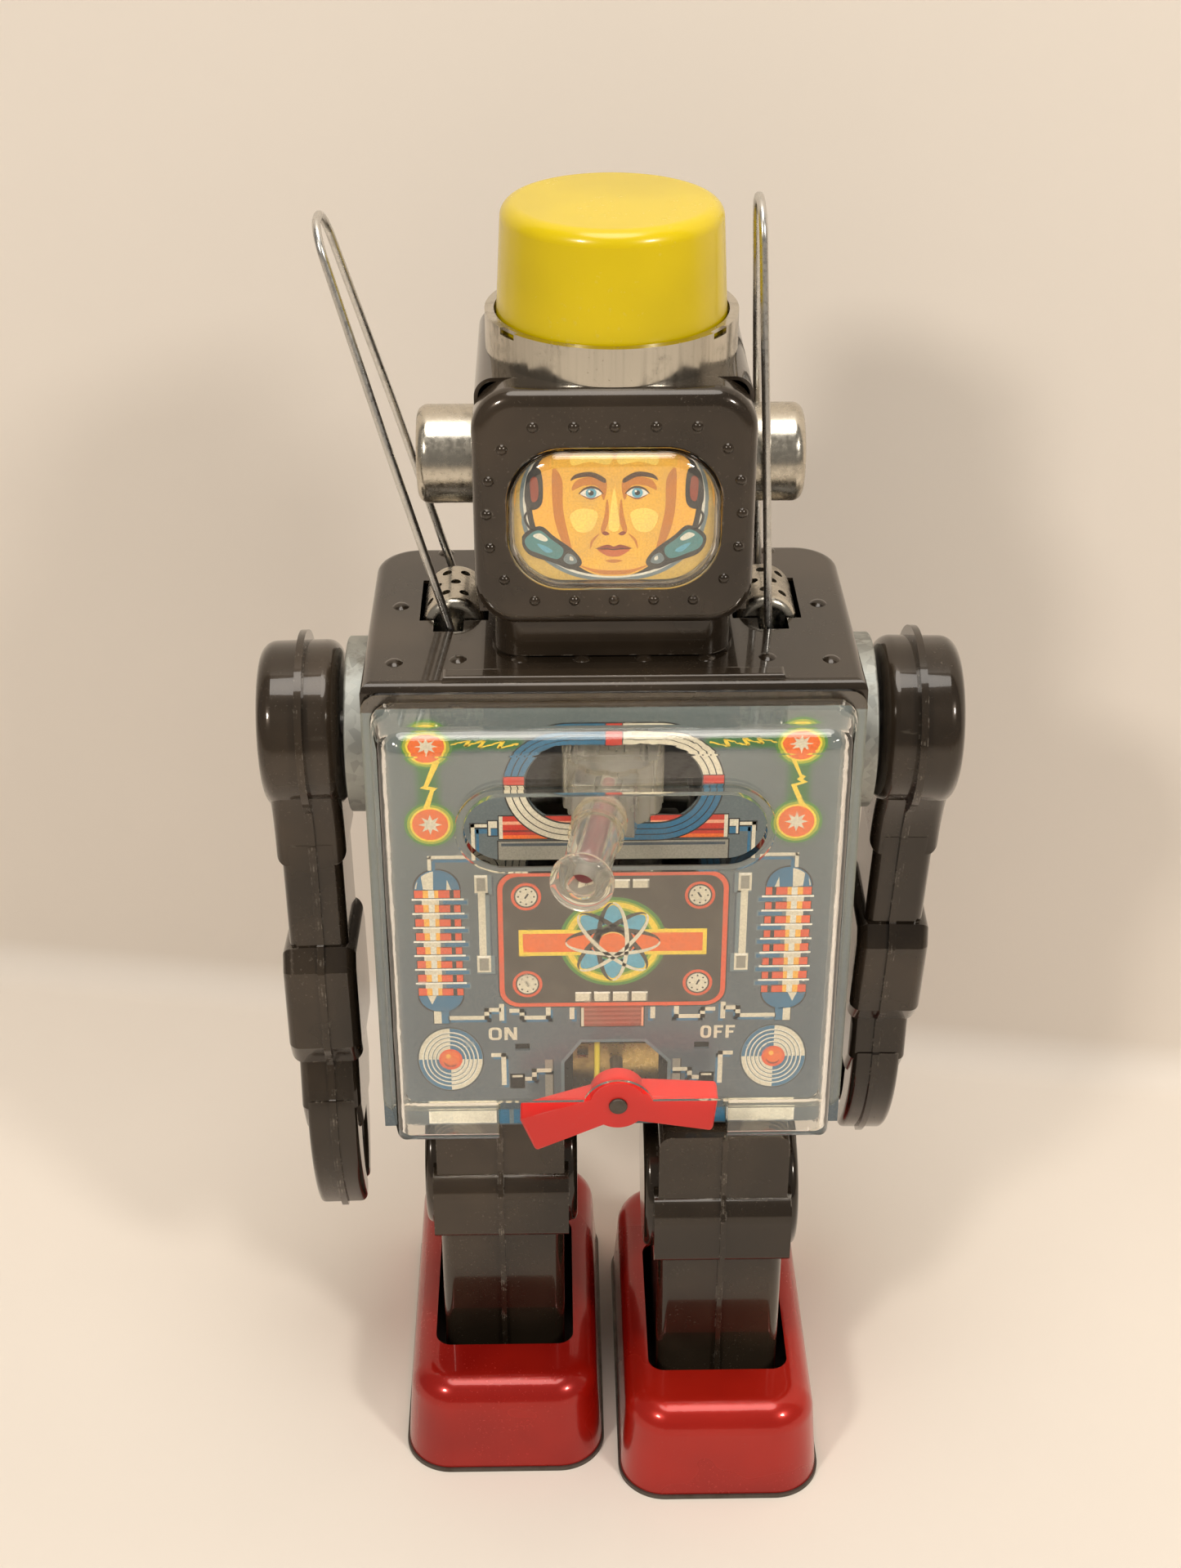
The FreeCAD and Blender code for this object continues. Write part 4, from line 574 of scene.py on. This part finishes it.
def draw_coils(art):
    """The striped coils with their cooling fins, and the pipes above and below them."""
    for side in left_and_right:
        def box_at(colour, x0, z0, x1, z1, layer):
            art.box(colour, side, x0, z0, x1, z1, layer)

        def shape_at(colour, points, layer):
            art.patch(colour, [(side * x, h) for x, h in points], layer)

        middle, half = 38.8, 5.0
        top_cap = oval(middle, 66.6, half, 5.3, 0, 180, 20)
        low_cap = oval(middle, 38.4, half, 4.9, 180, 360, 20)
        shape_at("black", [(x + (0.3 if x > middle else -0.3), h + 0.3) for x, h in top_cap], 1)
        shape_at("black", [(x + (0.3 if x > middle else -0.3), h - 0.3) for x, h in low_cap], 1)
        shape_at("blue", top_cap, 2)
        shape_at("blue", low_cap, 2)
        shape_at("cream", [(39.6, 66.7)] + oval(middle, 66.6, half - 0.2, 5.0, 5, 82, 12), 3)
        shape_at("blue", [(41.8, 66.7), (43.3, 66.7), (43.0, 69.0), (42.2, 70.6)], 4)
        shape_at("cream", [(35.6, 66.7), (36.7, 66.7), (36.5, 69.3)], 3)
        shape_at("cream", [(39.6, 38.4), (42.0, 38.4), (40.9, 35.6)], 3)
        box_at("slate", 34.0, 38.4, 43.6, 66.6, 2)
        for k in range(8):
            z1 = 66.6 - 3.78 * k
            box_at("black", 33.5, z1 - 2.15, 44.0, z1 + 0.12, 3)
            box_at("vermilion", 33.7, z1 - 2.0, 35.1, z1, 4)
            box_at("vermilion", 36.0, z1 - 2.0, 43.8, z1, 4)
            box_at("amber", 38.5, z1 - 2.0, 41.9, z1, 5)
            box_at("pale", 39.4, z1 - 2.0, 40.7, z1, 6)
            if k < 7:
                low = z1 - 2.2
                box_at("cream", 38.4, low - 1.4, 42.2, low, 3.5)
                box_at("steel", 31.9, low - 1.75, 40.2, low - 0.1, 4)
                box_at("blue", 32.2, low - 1.5, 37.5, low - 0.55, 5)
                box_at("cream", 38.4, low - 1.6, 42.2, low, 5)
                box_at("white", 32.9, low - 0.42, 44.4, low, 6.5)
        box_at("black", 36.9, 30.0, 40.8, 33.9, 1)
        box_at("cream", 38.9, 30.2, 40.6, 33.7, 2)
        box_at("blue", 37.1, 30.2, 38.9, 33.7, 2)
        for x0, z0, x1, z1 in ((27.6, 65.8, 30.5, 70.5), (27.3, 44.4, 30.4, 49.0), (28.2, 49.0, 29.8, 65.8)):
            box_at("slate", x0 - 1.3, z0 - 0.8, x1 - 0.3, z1 - 0.3, 1)
            box_at("steel", x0 - 0.9, z0 - 0.5, x1, z1, 2)
            box_at("cream", x0, z0, x1, z1, 3)
        for x0, z0, x1, z1 in ((27.6, 65.8, 30.5, 70.5), (27.3, 44.4, 30.4, 49.0)):
            box_at("white", x0 + 0.2, z1 - 0.6, x1 - 0.2, z1 - 0.1, 4)
            box_at("stone", x0 + 0.5, z0 + 0.5, x1 - 0.5, z1 - 0.8, 4)
        pipe = [(32.0, 75.2), (40.2, 75.2), (40.2, 71.8)]
        shadow = [(31.1, 74.2), (39.3, 74.2), (39.3, 71.8)]
        for a, b in zip(pipe, pipe[1:]):
            shape_at("cream", stroke([a, b], 0.8), 3)
        for a, b in zip(shadow, shadow[1:]):
            shape_at("blue", stroke([a, b], 0.7), 2)
        box_at("cream", 39.8, 74.8, 40.6, 75.6, 3)


def draw_pipes(art):
    """The stepped pipes at the foot of the panel, the red block, lettering, buttons and ducts."""
    outlined_box(art, "rust", -7.1, 29.0, 7.1, 34.6, 1, 0.3, mirror=False)
    for k in range(4):
        art.patch("brick", frame_box(-6.4, 29.7 + 1.25 * k, 6.4, 30.3 + 1.25 * k), 3)
    art.patch("cream", frame_box(-7.1, 29.0, -6.5, 34.2), 3)
    art.patch("peach", frame_box(6.6, 29.0, 7.1, 34.2), 3)
    runs = (((36.8, 31.7), (28.6, 31.7), (28.6, 33.9), (25.9, 33.9)),
            ((22.9, 33.6), (20.6, 33.6), (20.6, 31.6), (14.6, 31.6), (14.6, 33.9)),
            ((25.2, 35.0), (25.2, 31.4)), ((9.2, 33.8), (9.2, 31.6)),
            ((27.3, 21.0), (25.0, 21.0), (25.0, 12.8)),
            ((19.6, 14.0), (18.0, 14.0), (18.0, 16.4), (14.6, 16.4)))
    half_pipe = 0.55
    for side in left_and_right:
        for run in runs:
            for a, b in zip(run, run[1:]):
                x0, x1 = min(a[0], b[0]) - half_pipe, max(a[0], b[0]) + half_pipe
                z0, z1 = min(a[1], b[1]) - half_pipe, max(a[1], b[1]) + half_pipe
                art.box("blue", side, x0 - 0.5, z0 - 0.7, x1 - 0.5, z1 - 0.7, 1)
                art.box("cream", side, x0, z0, x1, z1, 2)
        outlined_box(art, "stone", 20.4, 11.4, 23.4, 15.3, 1, 0.2)
        art.box("cream", side, 20.7, 14.5, 23.1, 15.1, 3)
        art.box("white", side, 27.0, 0.4, 42.8, 5.0, 2)
        art.box("pale", side, 27.5, 0.8, 42.3, 4.5, 3)
        x0, x1 = sorted((side * 17.5, side * 26.6))
        art.patch("blue", frame_box(x0, 0.4, x1, 4.6), 1)
        art.patch("steel", frame_box(x0 + 2.6, 0.4, x0 + 3.6, 4.6), 2)
    for side in left_and_right:
        x, z = side * 37.2, 19.9
        for colour, rx, rz, layer in (("black", 7.7, 9.2, 1), ("steel", 7.45, 8.95, 2)):
            art.patch(colour, oval(x, z, rx, rz), layer)
        for quarter in range(4):
            start = 90 * quarter
            mine = [(x, z)] + oval(x, z, 7.3, 8.8, start, start + 90, 14)
            inward = quarter in (0, 2) if side < 0 else quarter in (1, 3)
            art.patch("blue" if inward else "cream", mine, 3)
        for k in range(4):
            rx, rz = 6.5 - 0.95 * k, 7.85 - 1.15 * k
            art.ring("pale", oval(x, z, rx, rz), oval(x, z, rx - 0.28, rz - 0.32), 4)
            art.ring("steel", oval(x, z, rx - 0.28, rz - 0.32), oval(x, z, rx - 0.48, rz - 0.55), 4)
        art.patch("vermilion", oval(x, z, 2.7, 2.95), 5)
        art.patch("orange", oval(x, z + 0.2, 2.1, 2.2), 6)
        art.patch("rust", stroke(oval(x, z - 0.1, 1.7, 1.9, 200, 330, 12), 0.5, 0.1), 7)
        art.patch("amber", oval(x - 0.5, z + 0.9, 0.55, 0.65, steps=16), 7)
    letters(art)


def letters(art):
    """ON and OFF in plain capitals."""
    def letter_o(x, z, w, h):
        hole = frame_box(x + 0.75, z + 0.65, x + w - 0.75, z + h - 0.65, 0.45)
        art.ring("cream", frame_box(x, z, x + w, z + h, 1.1), hole, 2)

    def letter_n(x, z, w, h):
        art.patch("cream", [(x, z), (x + 0.75, z), (x + 0.75, z + h - 1.5), (x + w - 0.95, z), (x + w, z),
                            (x + w, z + h), (x + w - 0.75, z + h), (x + w - 0.75, z + 1.5), (x + 0.95, z + h),
                            (x, z + h)], 2)

    def letter_f(x, z, w, h):
        art.patch("cream", [(x, z), (x + 0.75, z), (x + 0.75, z + h * 0.4), (x + w * 0.85, z + h * 0.4),
                            (x + w * 0.85, z + h * 0.57), (x + 0.75, z + h * 0.57), (x + 0.75, z + h - 0.65),
                            (x + w, z + h - 0.65), (x + w, z + h), (x, z + h)], 2)

    letter_o(-28.3, 25.3, 3.0, 3.6)
    letter_n(-24.7, 25.3, 2.9, 3.6)
    letter_o(20.2, 25.3, 2.5, 3.6)
    letter_f(23.3, 25.3, 2.1, 3.6)
    letter_f(26.0, 25.3, 2.1, 3.6)


def draw_window_edge(art):
    """The printed frame round the small window over the lever."""
    outer = [(13.6, 8.8), (13.6, 18.9), (7.8, 25.2), (-7.4, 25.2), (-11.8, 18.9), (-11.8, 8.8)]
    inner = [(12.85, 8.8), (12.85, 18.65), (7.42, 24.45), (-7.02, 24.45), (-11.05, 18.65), (-11.05, 8.8)]
    art.band("steel", outer, inner, 2)
    for x in (-14.6, 14.9):
        art.patch("stone", frame_box(x - 0.9, 8.6, x + 0.9, 19.5), 1)
        art.patch("black", frame_box(x + 0.9, 8.6, x + 1.15, 19.5), 1)


# ---- The face card ------------------------------------------------------------------------------

def draw_face(art):
    """A calm pilot's face of ordinary proportions inside a round helmet, drawn in flat inks."""
    art.patch("mustard", frame_box(-23.6, 0.4, 23.6, 34.6), 1)
    for side in left_and_right:
        art.patch("pale", [(side * 23.6, 0.4), (side * 23.6, 9.0), (side * 15.0, 2.6), (side * 10.0, 0.4)], 2)
        art.patch("amber", [(side * 23.6, 12.0), (side * 23.6, 34.6), (side * 19.4, 34.6),
                            (side * 20.6, 20.0)], 2)
    rim = curved([(0, 2.2), (9.5, 3.9), (16.6, 9.6), (19.3, 18.0), (18.6, 27.0), (14.8, 33.6),
                  (0, 34.4), (-14.8, 33.6), (-18.6, 27.0), (-19.3, 18.0), (-16.6, 9.6), (-9.5, 3.9)])
    middle = 19.0
    rims = (("steel", 1.0, 3), ("pale", 0.955, 4), ("black", 0.925, 5), ("amber", 0.865, 6))
    for colour, share, layer in rims:
        art.patch(colour, [(x * share, middle + (z - middle) * share) for x, z in rim], layer)
    head = curved([(0, 3.4), (4.4, 4.0), (8.6, 7.0), (11.2, 12.0), (12.4, 19.0), (12.6, 26.0), (11.6, 33.4),
                   (0, 34.2), (-11.6, 33.4), (-12.6, 26.0), (-12.4, 19.0), (-11.2, 12.0), (-8.6, 7.0),
                   (-4.4, 4.0)])
    art.patch("skin", head, 7)
    for side in left_and_right:
        def mark(colour, points, layer):
            art.patch(colour, curved([(side * x, z) for x, z in points]), layer)

        mark("shade", [(12.5, 27.0), (12.4, 18.0), (10.9, 11.8), (8.2, 7.2), (9.3, 12.5), (10.4, 18.5),
                       (10.6, 25.0)], 8)
        mark("shade", [(1.6, 24.6), (4.2, 25.6), (7.6, 24.8), (8.6, 22.6), (6.2, 23.6), (3.4, 23.4),
                       (2.1, 20.4)], 8)
        mark("light", [(3.4, 17.6), (6.6, 18.6), (9.0, 17.0), (7.6, 13.6), (4.6, 13.8)], 8)
        mark("light", [(1.0, 28.2), (5.0, 28.8), (8.6, 28.0), (8.0, 31.4), (1.0, 31.6)], 8)
        mark("hair", [(1.9, 25.2), (4.6, 26.6), (7.8, 26.1), (8.9, 24.7), (7.4, 25.3), (4.6, 25.5),
                      (2.0, 24.2)], 9)
        mark("white", [(2.5, 21.9), (4.6, 23.1), (6.9, 21.9), (4.7, 20.9)], 10)
        art.patch("sky", oval(side * 4.7, 22.0, 1.12, 1.12, steps=20), 11)
        art.patch("black", oval(side * 4.7, 22.0, 0.55, 0.55, steps=16), 12)
        art.patch("white", oval(side * 4.7 - 0.35, 22.4, 0.24, 0.24, steps=10), 13)
        lid = curved([(2.2, 21.8), (3.3, 22.9), (4.7, 23.3), (6.2, 22.8), (7.2, 21.8)], 5, False)
        art.patch("hair", stroke([(side * x, z) for x, z in lid], 0.5, 0.15), 13)
        lower = curved([(2.8, 21.5), (4.7, 20.7), (6.7, 21.6)], 5, False)
        art.patch("rust", stroke([(side * x, z) for x, z in lower], 0.26, 0.08), 13)
        mark("shade", [(1.5, 20.6), (2.0, 17.0), (2.7, 14.0), (2.2, 13.0), (1.2, 15.6), (1.1, 19.0)], 9)
        mark("rust", [(0.9, 12.9), (1.8, 12.6), (2.5, 13.2), (1.7, 13.5)], 10)
        fold = curved([(3.0, 13.0), (4.4, 11.4), (4.9, 9.6)], 5, False)
        art.patch("shade", stroke([(side * x, z) for x, z in fold], 0.5, 0.1), 9)
    nose = curved([(0.0, 23.0), (0.8, 18.0), (1.1, 14.4), (0.0, 13.4), (-1.1, 14.4), (-0.8, 18.0)])
    art.patch("light", nose, 9)
    art.patch("rust", curved([(-3.6, 9.6), (-1.4, 10.5), (0, 10.1), (1.4, 10.5), (3.6, 9.6), (0, 9.4)]), 10)
    art.patch("lip", curved([(-3.3, 9.5), (0, 9.4), (3.3, 9.5), (1.6, 8.1), (0, 7.8), (-1.6, 8.1)]), 10)
    mouth = curved([(-3.8, 9.7), (-1.5, 9.6), (0, 9.4), (1.5, 9.6), (3.8, 9.7)], 4, False)
    art.patch("hair", stroke(mouth, 0.24, 0.08), 11)
    art.patch("shade", curved([(-1.8, 6.9), (0, 7.2), (1.8, 6.9), (0, 6.4)]), 9)
    chin = curved([(-7.4, 6.0), (-3.6, 4.1), (0, 3.7), (3.6, 4.1), (7.4, 6.0), (4.0, 5.0), (0, 4.7),
                   (-4.0, 5.0)])
    art.patch("shade", chin, 9)
    for side in left_and_right:
        def part(colour, points, layer):
            art.patch(colour, [(side * x, z) for x, z in curved(points, 5)], layer)

        part("black", [(18.9, 12.4), (15.2, 14.8), (12.2, 12.4), (8.2, 9.2), (6.6, 6.4), (8.8, 5.0),
                       (12.6, 6.6), (17.6, 8.6)], 14)
        part("teal", [(18.2, 12.0), (15.4, 13.9), (12.8, 11.8), (10.4, 9.6), (11.6, 7.4), (15.2, 8.6),
                      (17.6, 9.8)], 15)
        part("pale", [(16.6, 12.6), (15.2, 13.2), (13.6, 11.9), (14.4, 11.4)], 16)
        part("sky", [(15.8, 10.8), (14.2, 10.4), (12.6, 9.2), (14.0, 8.9)], 16)
        part("steel", [(9.6, 8.6), (8.2, 8.0), (7.6, 6.6), (9.2, 6.2), (10.4, 7.2)], 15)
        part("pale", [(9.0, 8.0), (8.4, 7.6), (8.4, 7.0), (9.1, 7.2)], 16)
        part("black", [(17.6, 26.6), (14.9, 27.0), (14.6, 20.2), (16.6, 18.4), (18.2, 20.4)], 14)
        part("rust", [(17.0, 25.0), (15.6, 25.2), (15.5, 21.0), (16.8, 20.4)], 15)
        wire = curved([(16.6, 19.0), (18.2, 17.0), (17.4, 14.6), (15.6, 13.4)], 5, False)
        art.patch("black", stroke([(side * x, z) for x, z in wire], 0.5, 0.4), 14)


# ---- Assembling the looks -----------------------------------------------------------------------

ink_colours = {
    "cream": (0.62, 0.57, 0.44), "white": (0.78, 0.76, 0.68), "pale": (0.66, 0.64, 0.55),
    "black": (0.012, 0.014, 0.016), "blue": (0.022, 0.13, 0.24), "sky": (0.09, 0.33, 0.46),
    "teal": (0.05, 0.19, 0.2), "steel": (0.13, 0.18, 0.2), "slate": (0.045, 0.065, 0.085),
    "stone": (0.25, 0.24, 0.2), "umber": (0.045, 0.036, 0.026), "orange": (0.72, 0.13, 0.016),
    "vermilion": (0.66, 0.085, 0.025), "red": (0.5, 0.03, 0.015), "maroon": (0.17, 0.014, 0.012),
    "rust": (0.24, 0.04, 0.02), "brick": (0.34, 0.085, 0.055), "peach": (0.75, 0.33, 0.2),
    "yellow": (0.78, 0.55, 0.04), "amber": (0.8, 0.4, 0.05), "gold": (0.75, 0.5, 0.12),
    "lime": (0.3, 0.36, 0.02), "leaf": (0.06, 0.2, 0.03), "mustard": (0.5, 0.33, 0.08),
    "skin": (0.74, 0.4, 0.045), "shade": (0.5, 0.17, 0.02), "light": (0.86, 0.6, 0.12),
    "lip": (0.5, 0.11, 0.03), "hair": (0.06, 0.025, 0.012),
}
inks = {name: ink(f"ink_{name}", colour) for name, colour in ink_colours.items()}
ink_layer = 0.012 * MM

plate_low, plate_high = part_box("chest_plate")
chest_art = Artwork("chest_print", "body", "printed_chest_tin", plate_low.y,
                    (plate_low.x + plate_high.x) / 2, plate_low.z, ink_layer)
for draw in (draw_discs, draw_ring, draw_cylinders, draw_panel, draw_atom, draw_coils, draw_pipes,
             draw_window_edge):
    draw(chest_art)
chest_art.finish(inks)

card_low, card_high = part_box("face_card")
face_art = Artwork("face_print", "body", "printed_card", card_low.y,
                   (card_low.x + card_high.x) / 2, card_low.z, ink_layer)
draw_face(face_art)
face_art.finish(inks)

chest_ground = ink("chest_ground", (0.085, 0.115, 0.135))
height = (chest_ground.axis("Z") - plate_low.z) * (1 / MM)
across = abs(chest_ground.axis("X")) * (1 / MM)


def halo(x, z, reach_x, reach_z, stretch_x=0.0, stretch_z=0.0):
    """A soft printed glow round a point or a short line."""
    dx = abs(across - x) - stretch_x
    dz = abs(height - z) - stretch_z
    dx = dx.maths("MAXIMUM", dx, 0.0) / reach_x
    dz = dz.maths("MAXIMUM", dz, 0.0) / reach_z
    return (1 - (dx * dx + dz * dz) ** 0.5).above(0.0, 0.75)


glow = (halo(39.8, 103.0, 7.6, 7.4) + halo(39.6, 83.6, 7.6, 7.4) + halo(39.7, 93.3, 3.6, 3.0, 0.0, 6.0)
        + halo(27.6, 103.5, 3.0, 2.6, 6.5, 0.0)).limited()
base_tone = chest_ground.mix(height.above(20.0, 100.0), (0.06, 0.085, 0.105), (0.1, 0.125, 0.13))
dots = chest_ground.speckle(2400.0, 2.0).above(0.4, 0.7)
base_tone = chest_ground.mix(dots * 0.35, base_tone, (0.15, 0.17, 0.17))
base_tone = chest_ground.mix(glow, base_tone, (0.03, 0.13, 0.03))
chest_ground.feed("Base Color", base_tone)

finishes = {
    "dark_lacquered_tin": dark_lacquer("dark_lacquered_tin", (0.034, 0.024, 0.0155)),
    "printed_chest_tin": chest_ground,
    "clear_plastic": clear_plastic("clear_cover_plastic", (0.985, 0.975, 0.94), 0.015, 16.0, 0.03),
    "printed_card": ink("face_card_ground", (0.55, 0.42, 0.2)),
    "yellow_plastic": moulded("yellow_plastic", (0.68, 0.51, 0.0), 0.22, 0.05, 0.0),
    "red_plastic": moulded("red_plastic", (0.62, 0.012, 0.008), 0.3, 0.1),
    "dark_red_plastic": moulded("dark_red_plastic", (0.1, 0.012, 0.018), 0.35),
    "nickel_plate": bright_plate("nickel_plate", (0.58, 0.54, 0.46), 0.24),
    "zinc_plate": galvanised("zinc_plate"),
    "red_lacquered_tin": red_lacquer("red_lacquered_tin"),
    "dark_steel": bare_steel("dark_steel", (0.13, 0.115, 0.1), 0.4),
    "plain_steel": bare_steel("plain_steel", (0.36, 0.35, 0.33), 0.32),
    "brass": bright_plate("brass", (0.6, 0.42, 0.16), 0.3, (0.16, 0.09, 0.03)),
    "cell_case": moulded("cell_case", (0.25, 0.02, 0.02), 0.3),
    "lamp_glass": clear_plastic("lamp_glass", (0.97, 0.96, 0.9), 0.02, 40.0, 0.0),
    "yellow_insulation": moulded("yellow_insulation", (0.8, 0.62, 0.04), 0.4),
}
gun_clear = clear_plastic("gun_clear_plastic", (0.96, 0.93, 0.85), 0.03, 90.0, 0.05, ior=1.22, clarity=0.92)
ring_plate = bright_plate("ring_nickel", (0.6, 0.56, 0.48), 0.2, brushed=(1, 1, 0.04))
antenna_steel = bright_plate("antenna_steel", (0.62, 0.61, 0.58), 0.3, tarnish=0.2, pitted=0.1)
special = {"gun_housing": gun_clear, "gun_barrel": gun_clear, "dome_ring": ring_plate,
           "left_antenna_wire": antenna_steel, "right_antenna_wire": antenna_steel,
           "lever_shaft": finishes["dark_steel"]}
slot_of = {entry["node"]: entry["material_slot"] for entry in frame["record"]["subparts"]}
for name, node in nodes.items():
    finish = special.get(name, finishes[slot_of[name]])
    node.data.materials.clear()
    node.data.materials.append(finish.material)


# ---- Room, lamps and camera ---------------------------------------------------------------------

def plain_surface(name, colour):
    """Smooth pale card, seen only from its front."""
    surface = Finish(name, colour, Specular_IOR_Level=0.2)
    mottle = surface.speckle(9.0, 3.0)
    surface.feed("Base Color", surface.mix(mottle.above(0.3, 0.7), toned(colour, 0.985), colour))
    surface.feed("Roughness", 0.55 + mottle * 0.1)
    surface.see_through_when(surface.add("ShaderNodeNewGeometry", {}, {}, "Backfacing"), (1.0, 1.0, 1.0))
    return surface


def backdrop():
    """A pale table top that sweeps up into a wall standing a little askew behind the robot."""
    wall_y, wall_top, table_depth, half_width = 0.1495, 2.2, 2.0, 2.5
    bend, bend_steps = 0.012, 8
    profile = [(-table_depth, 0.0), (0.0, 0.0)]
    for i in range(1, bend_steps + 1):
        angle = math.radians(90 * i / bend_steps)
        profile.append((bend * math.sin(angle), bend * (1 - math.cos(angle))))
    profile.append((bend, wall_top))
    skew = math.radians(-9.8)
    verts, faces = [], []
    for x in (-half_width, half_width):
        for depth, up in profile:
            y = depth - bend
            verts.append((x * math.cos(skew) - y * math.sin(skew),
                          x * math.sin(skew) + y * math.cos(skew) + wall_y, up))
    count = len(profile)
    for i in range(count - 1):
        faces.append((i, count + i, count + i + 1, i + 1))
    mesh = bpy.data.meshes.new("backdrop")
    mesh.from_pydata(verts, [], faces)
    mesh.materials.append(plain_surface("pale_room", (0.84, 0.77, 0.69)).material)
    mesh.shade_smooth()
    room = bpy.data.objects.new("backdrop", mesh)
    bpy.context.scene.collection.objects.link(room)


def lamp(name, place, aim, size, power, colour):
    """A round lamp at place that shines towards aim."""
    light = bpy.data.lights.new(name, "AREA")
    light.shape = "DISK"
    light.size = size
    light.energy = power
    light.color = colour
    thing = bpy.data.objects.new(name, light)
    thing.location = place
    thing.rotation_euler = (Vector(aim) - Vector(place)).to_track_quat("-Z", "Y").to_euler()
    bpy.context.scene.collection.objects.link(thing)


backdrop()
lamp("left_lamp", (-0.55, -0.75, 0.85), (0, 0, 0.12), 0.16, 4.1, (1.0, 0.93, 0.84))
lamp("right_lamp", (0.6, -0.7, 0.8), (0, 0, 0.12), 0.16, 3.9, (1.0, 0.94, 0.86))
lamp("ceiling_lamp", (0.0, -0.15, 1.3), (0, 0.02, 0.1), 0.7, 6.4, (1.0, 0.96, 0.9))

world = bpy.data.worlds.new("room_light")
bpy.context.scene.world = world
world.use_nodes = True
room_light = world.node_tree.nodes["Background"]
room_light.inputs["Color"].default_value = (1.0, 0.93, 0.84, 1.0)
room_light.inputs["Strength"].default_value = 0.24

camera_data = bpy.data.cameras.new("camera")
camera_data.sensor_fit = "VERTICAL"
camera_data.sensor_height = 36.0
camera_data.lens = 50.95
camera_data.clip_start = 0.01
camera = bpy.data.objects.new("camera", camera_data)
camera.rotation_mode = "XYZ"
look_down, look_right = math.radians(30.787), math.radians(1.009)
camera.rotation_euler = (math.radians(90) - look_down, 0.0, -look_right)
camera.location = (-0.012163, -0.426393, 0.432247)
bpy.context.scene.collection.objects.link(camera)
bpy.context.scene.camera = camera
bpy.context.scene.view_settings.view_transform = "Standard"
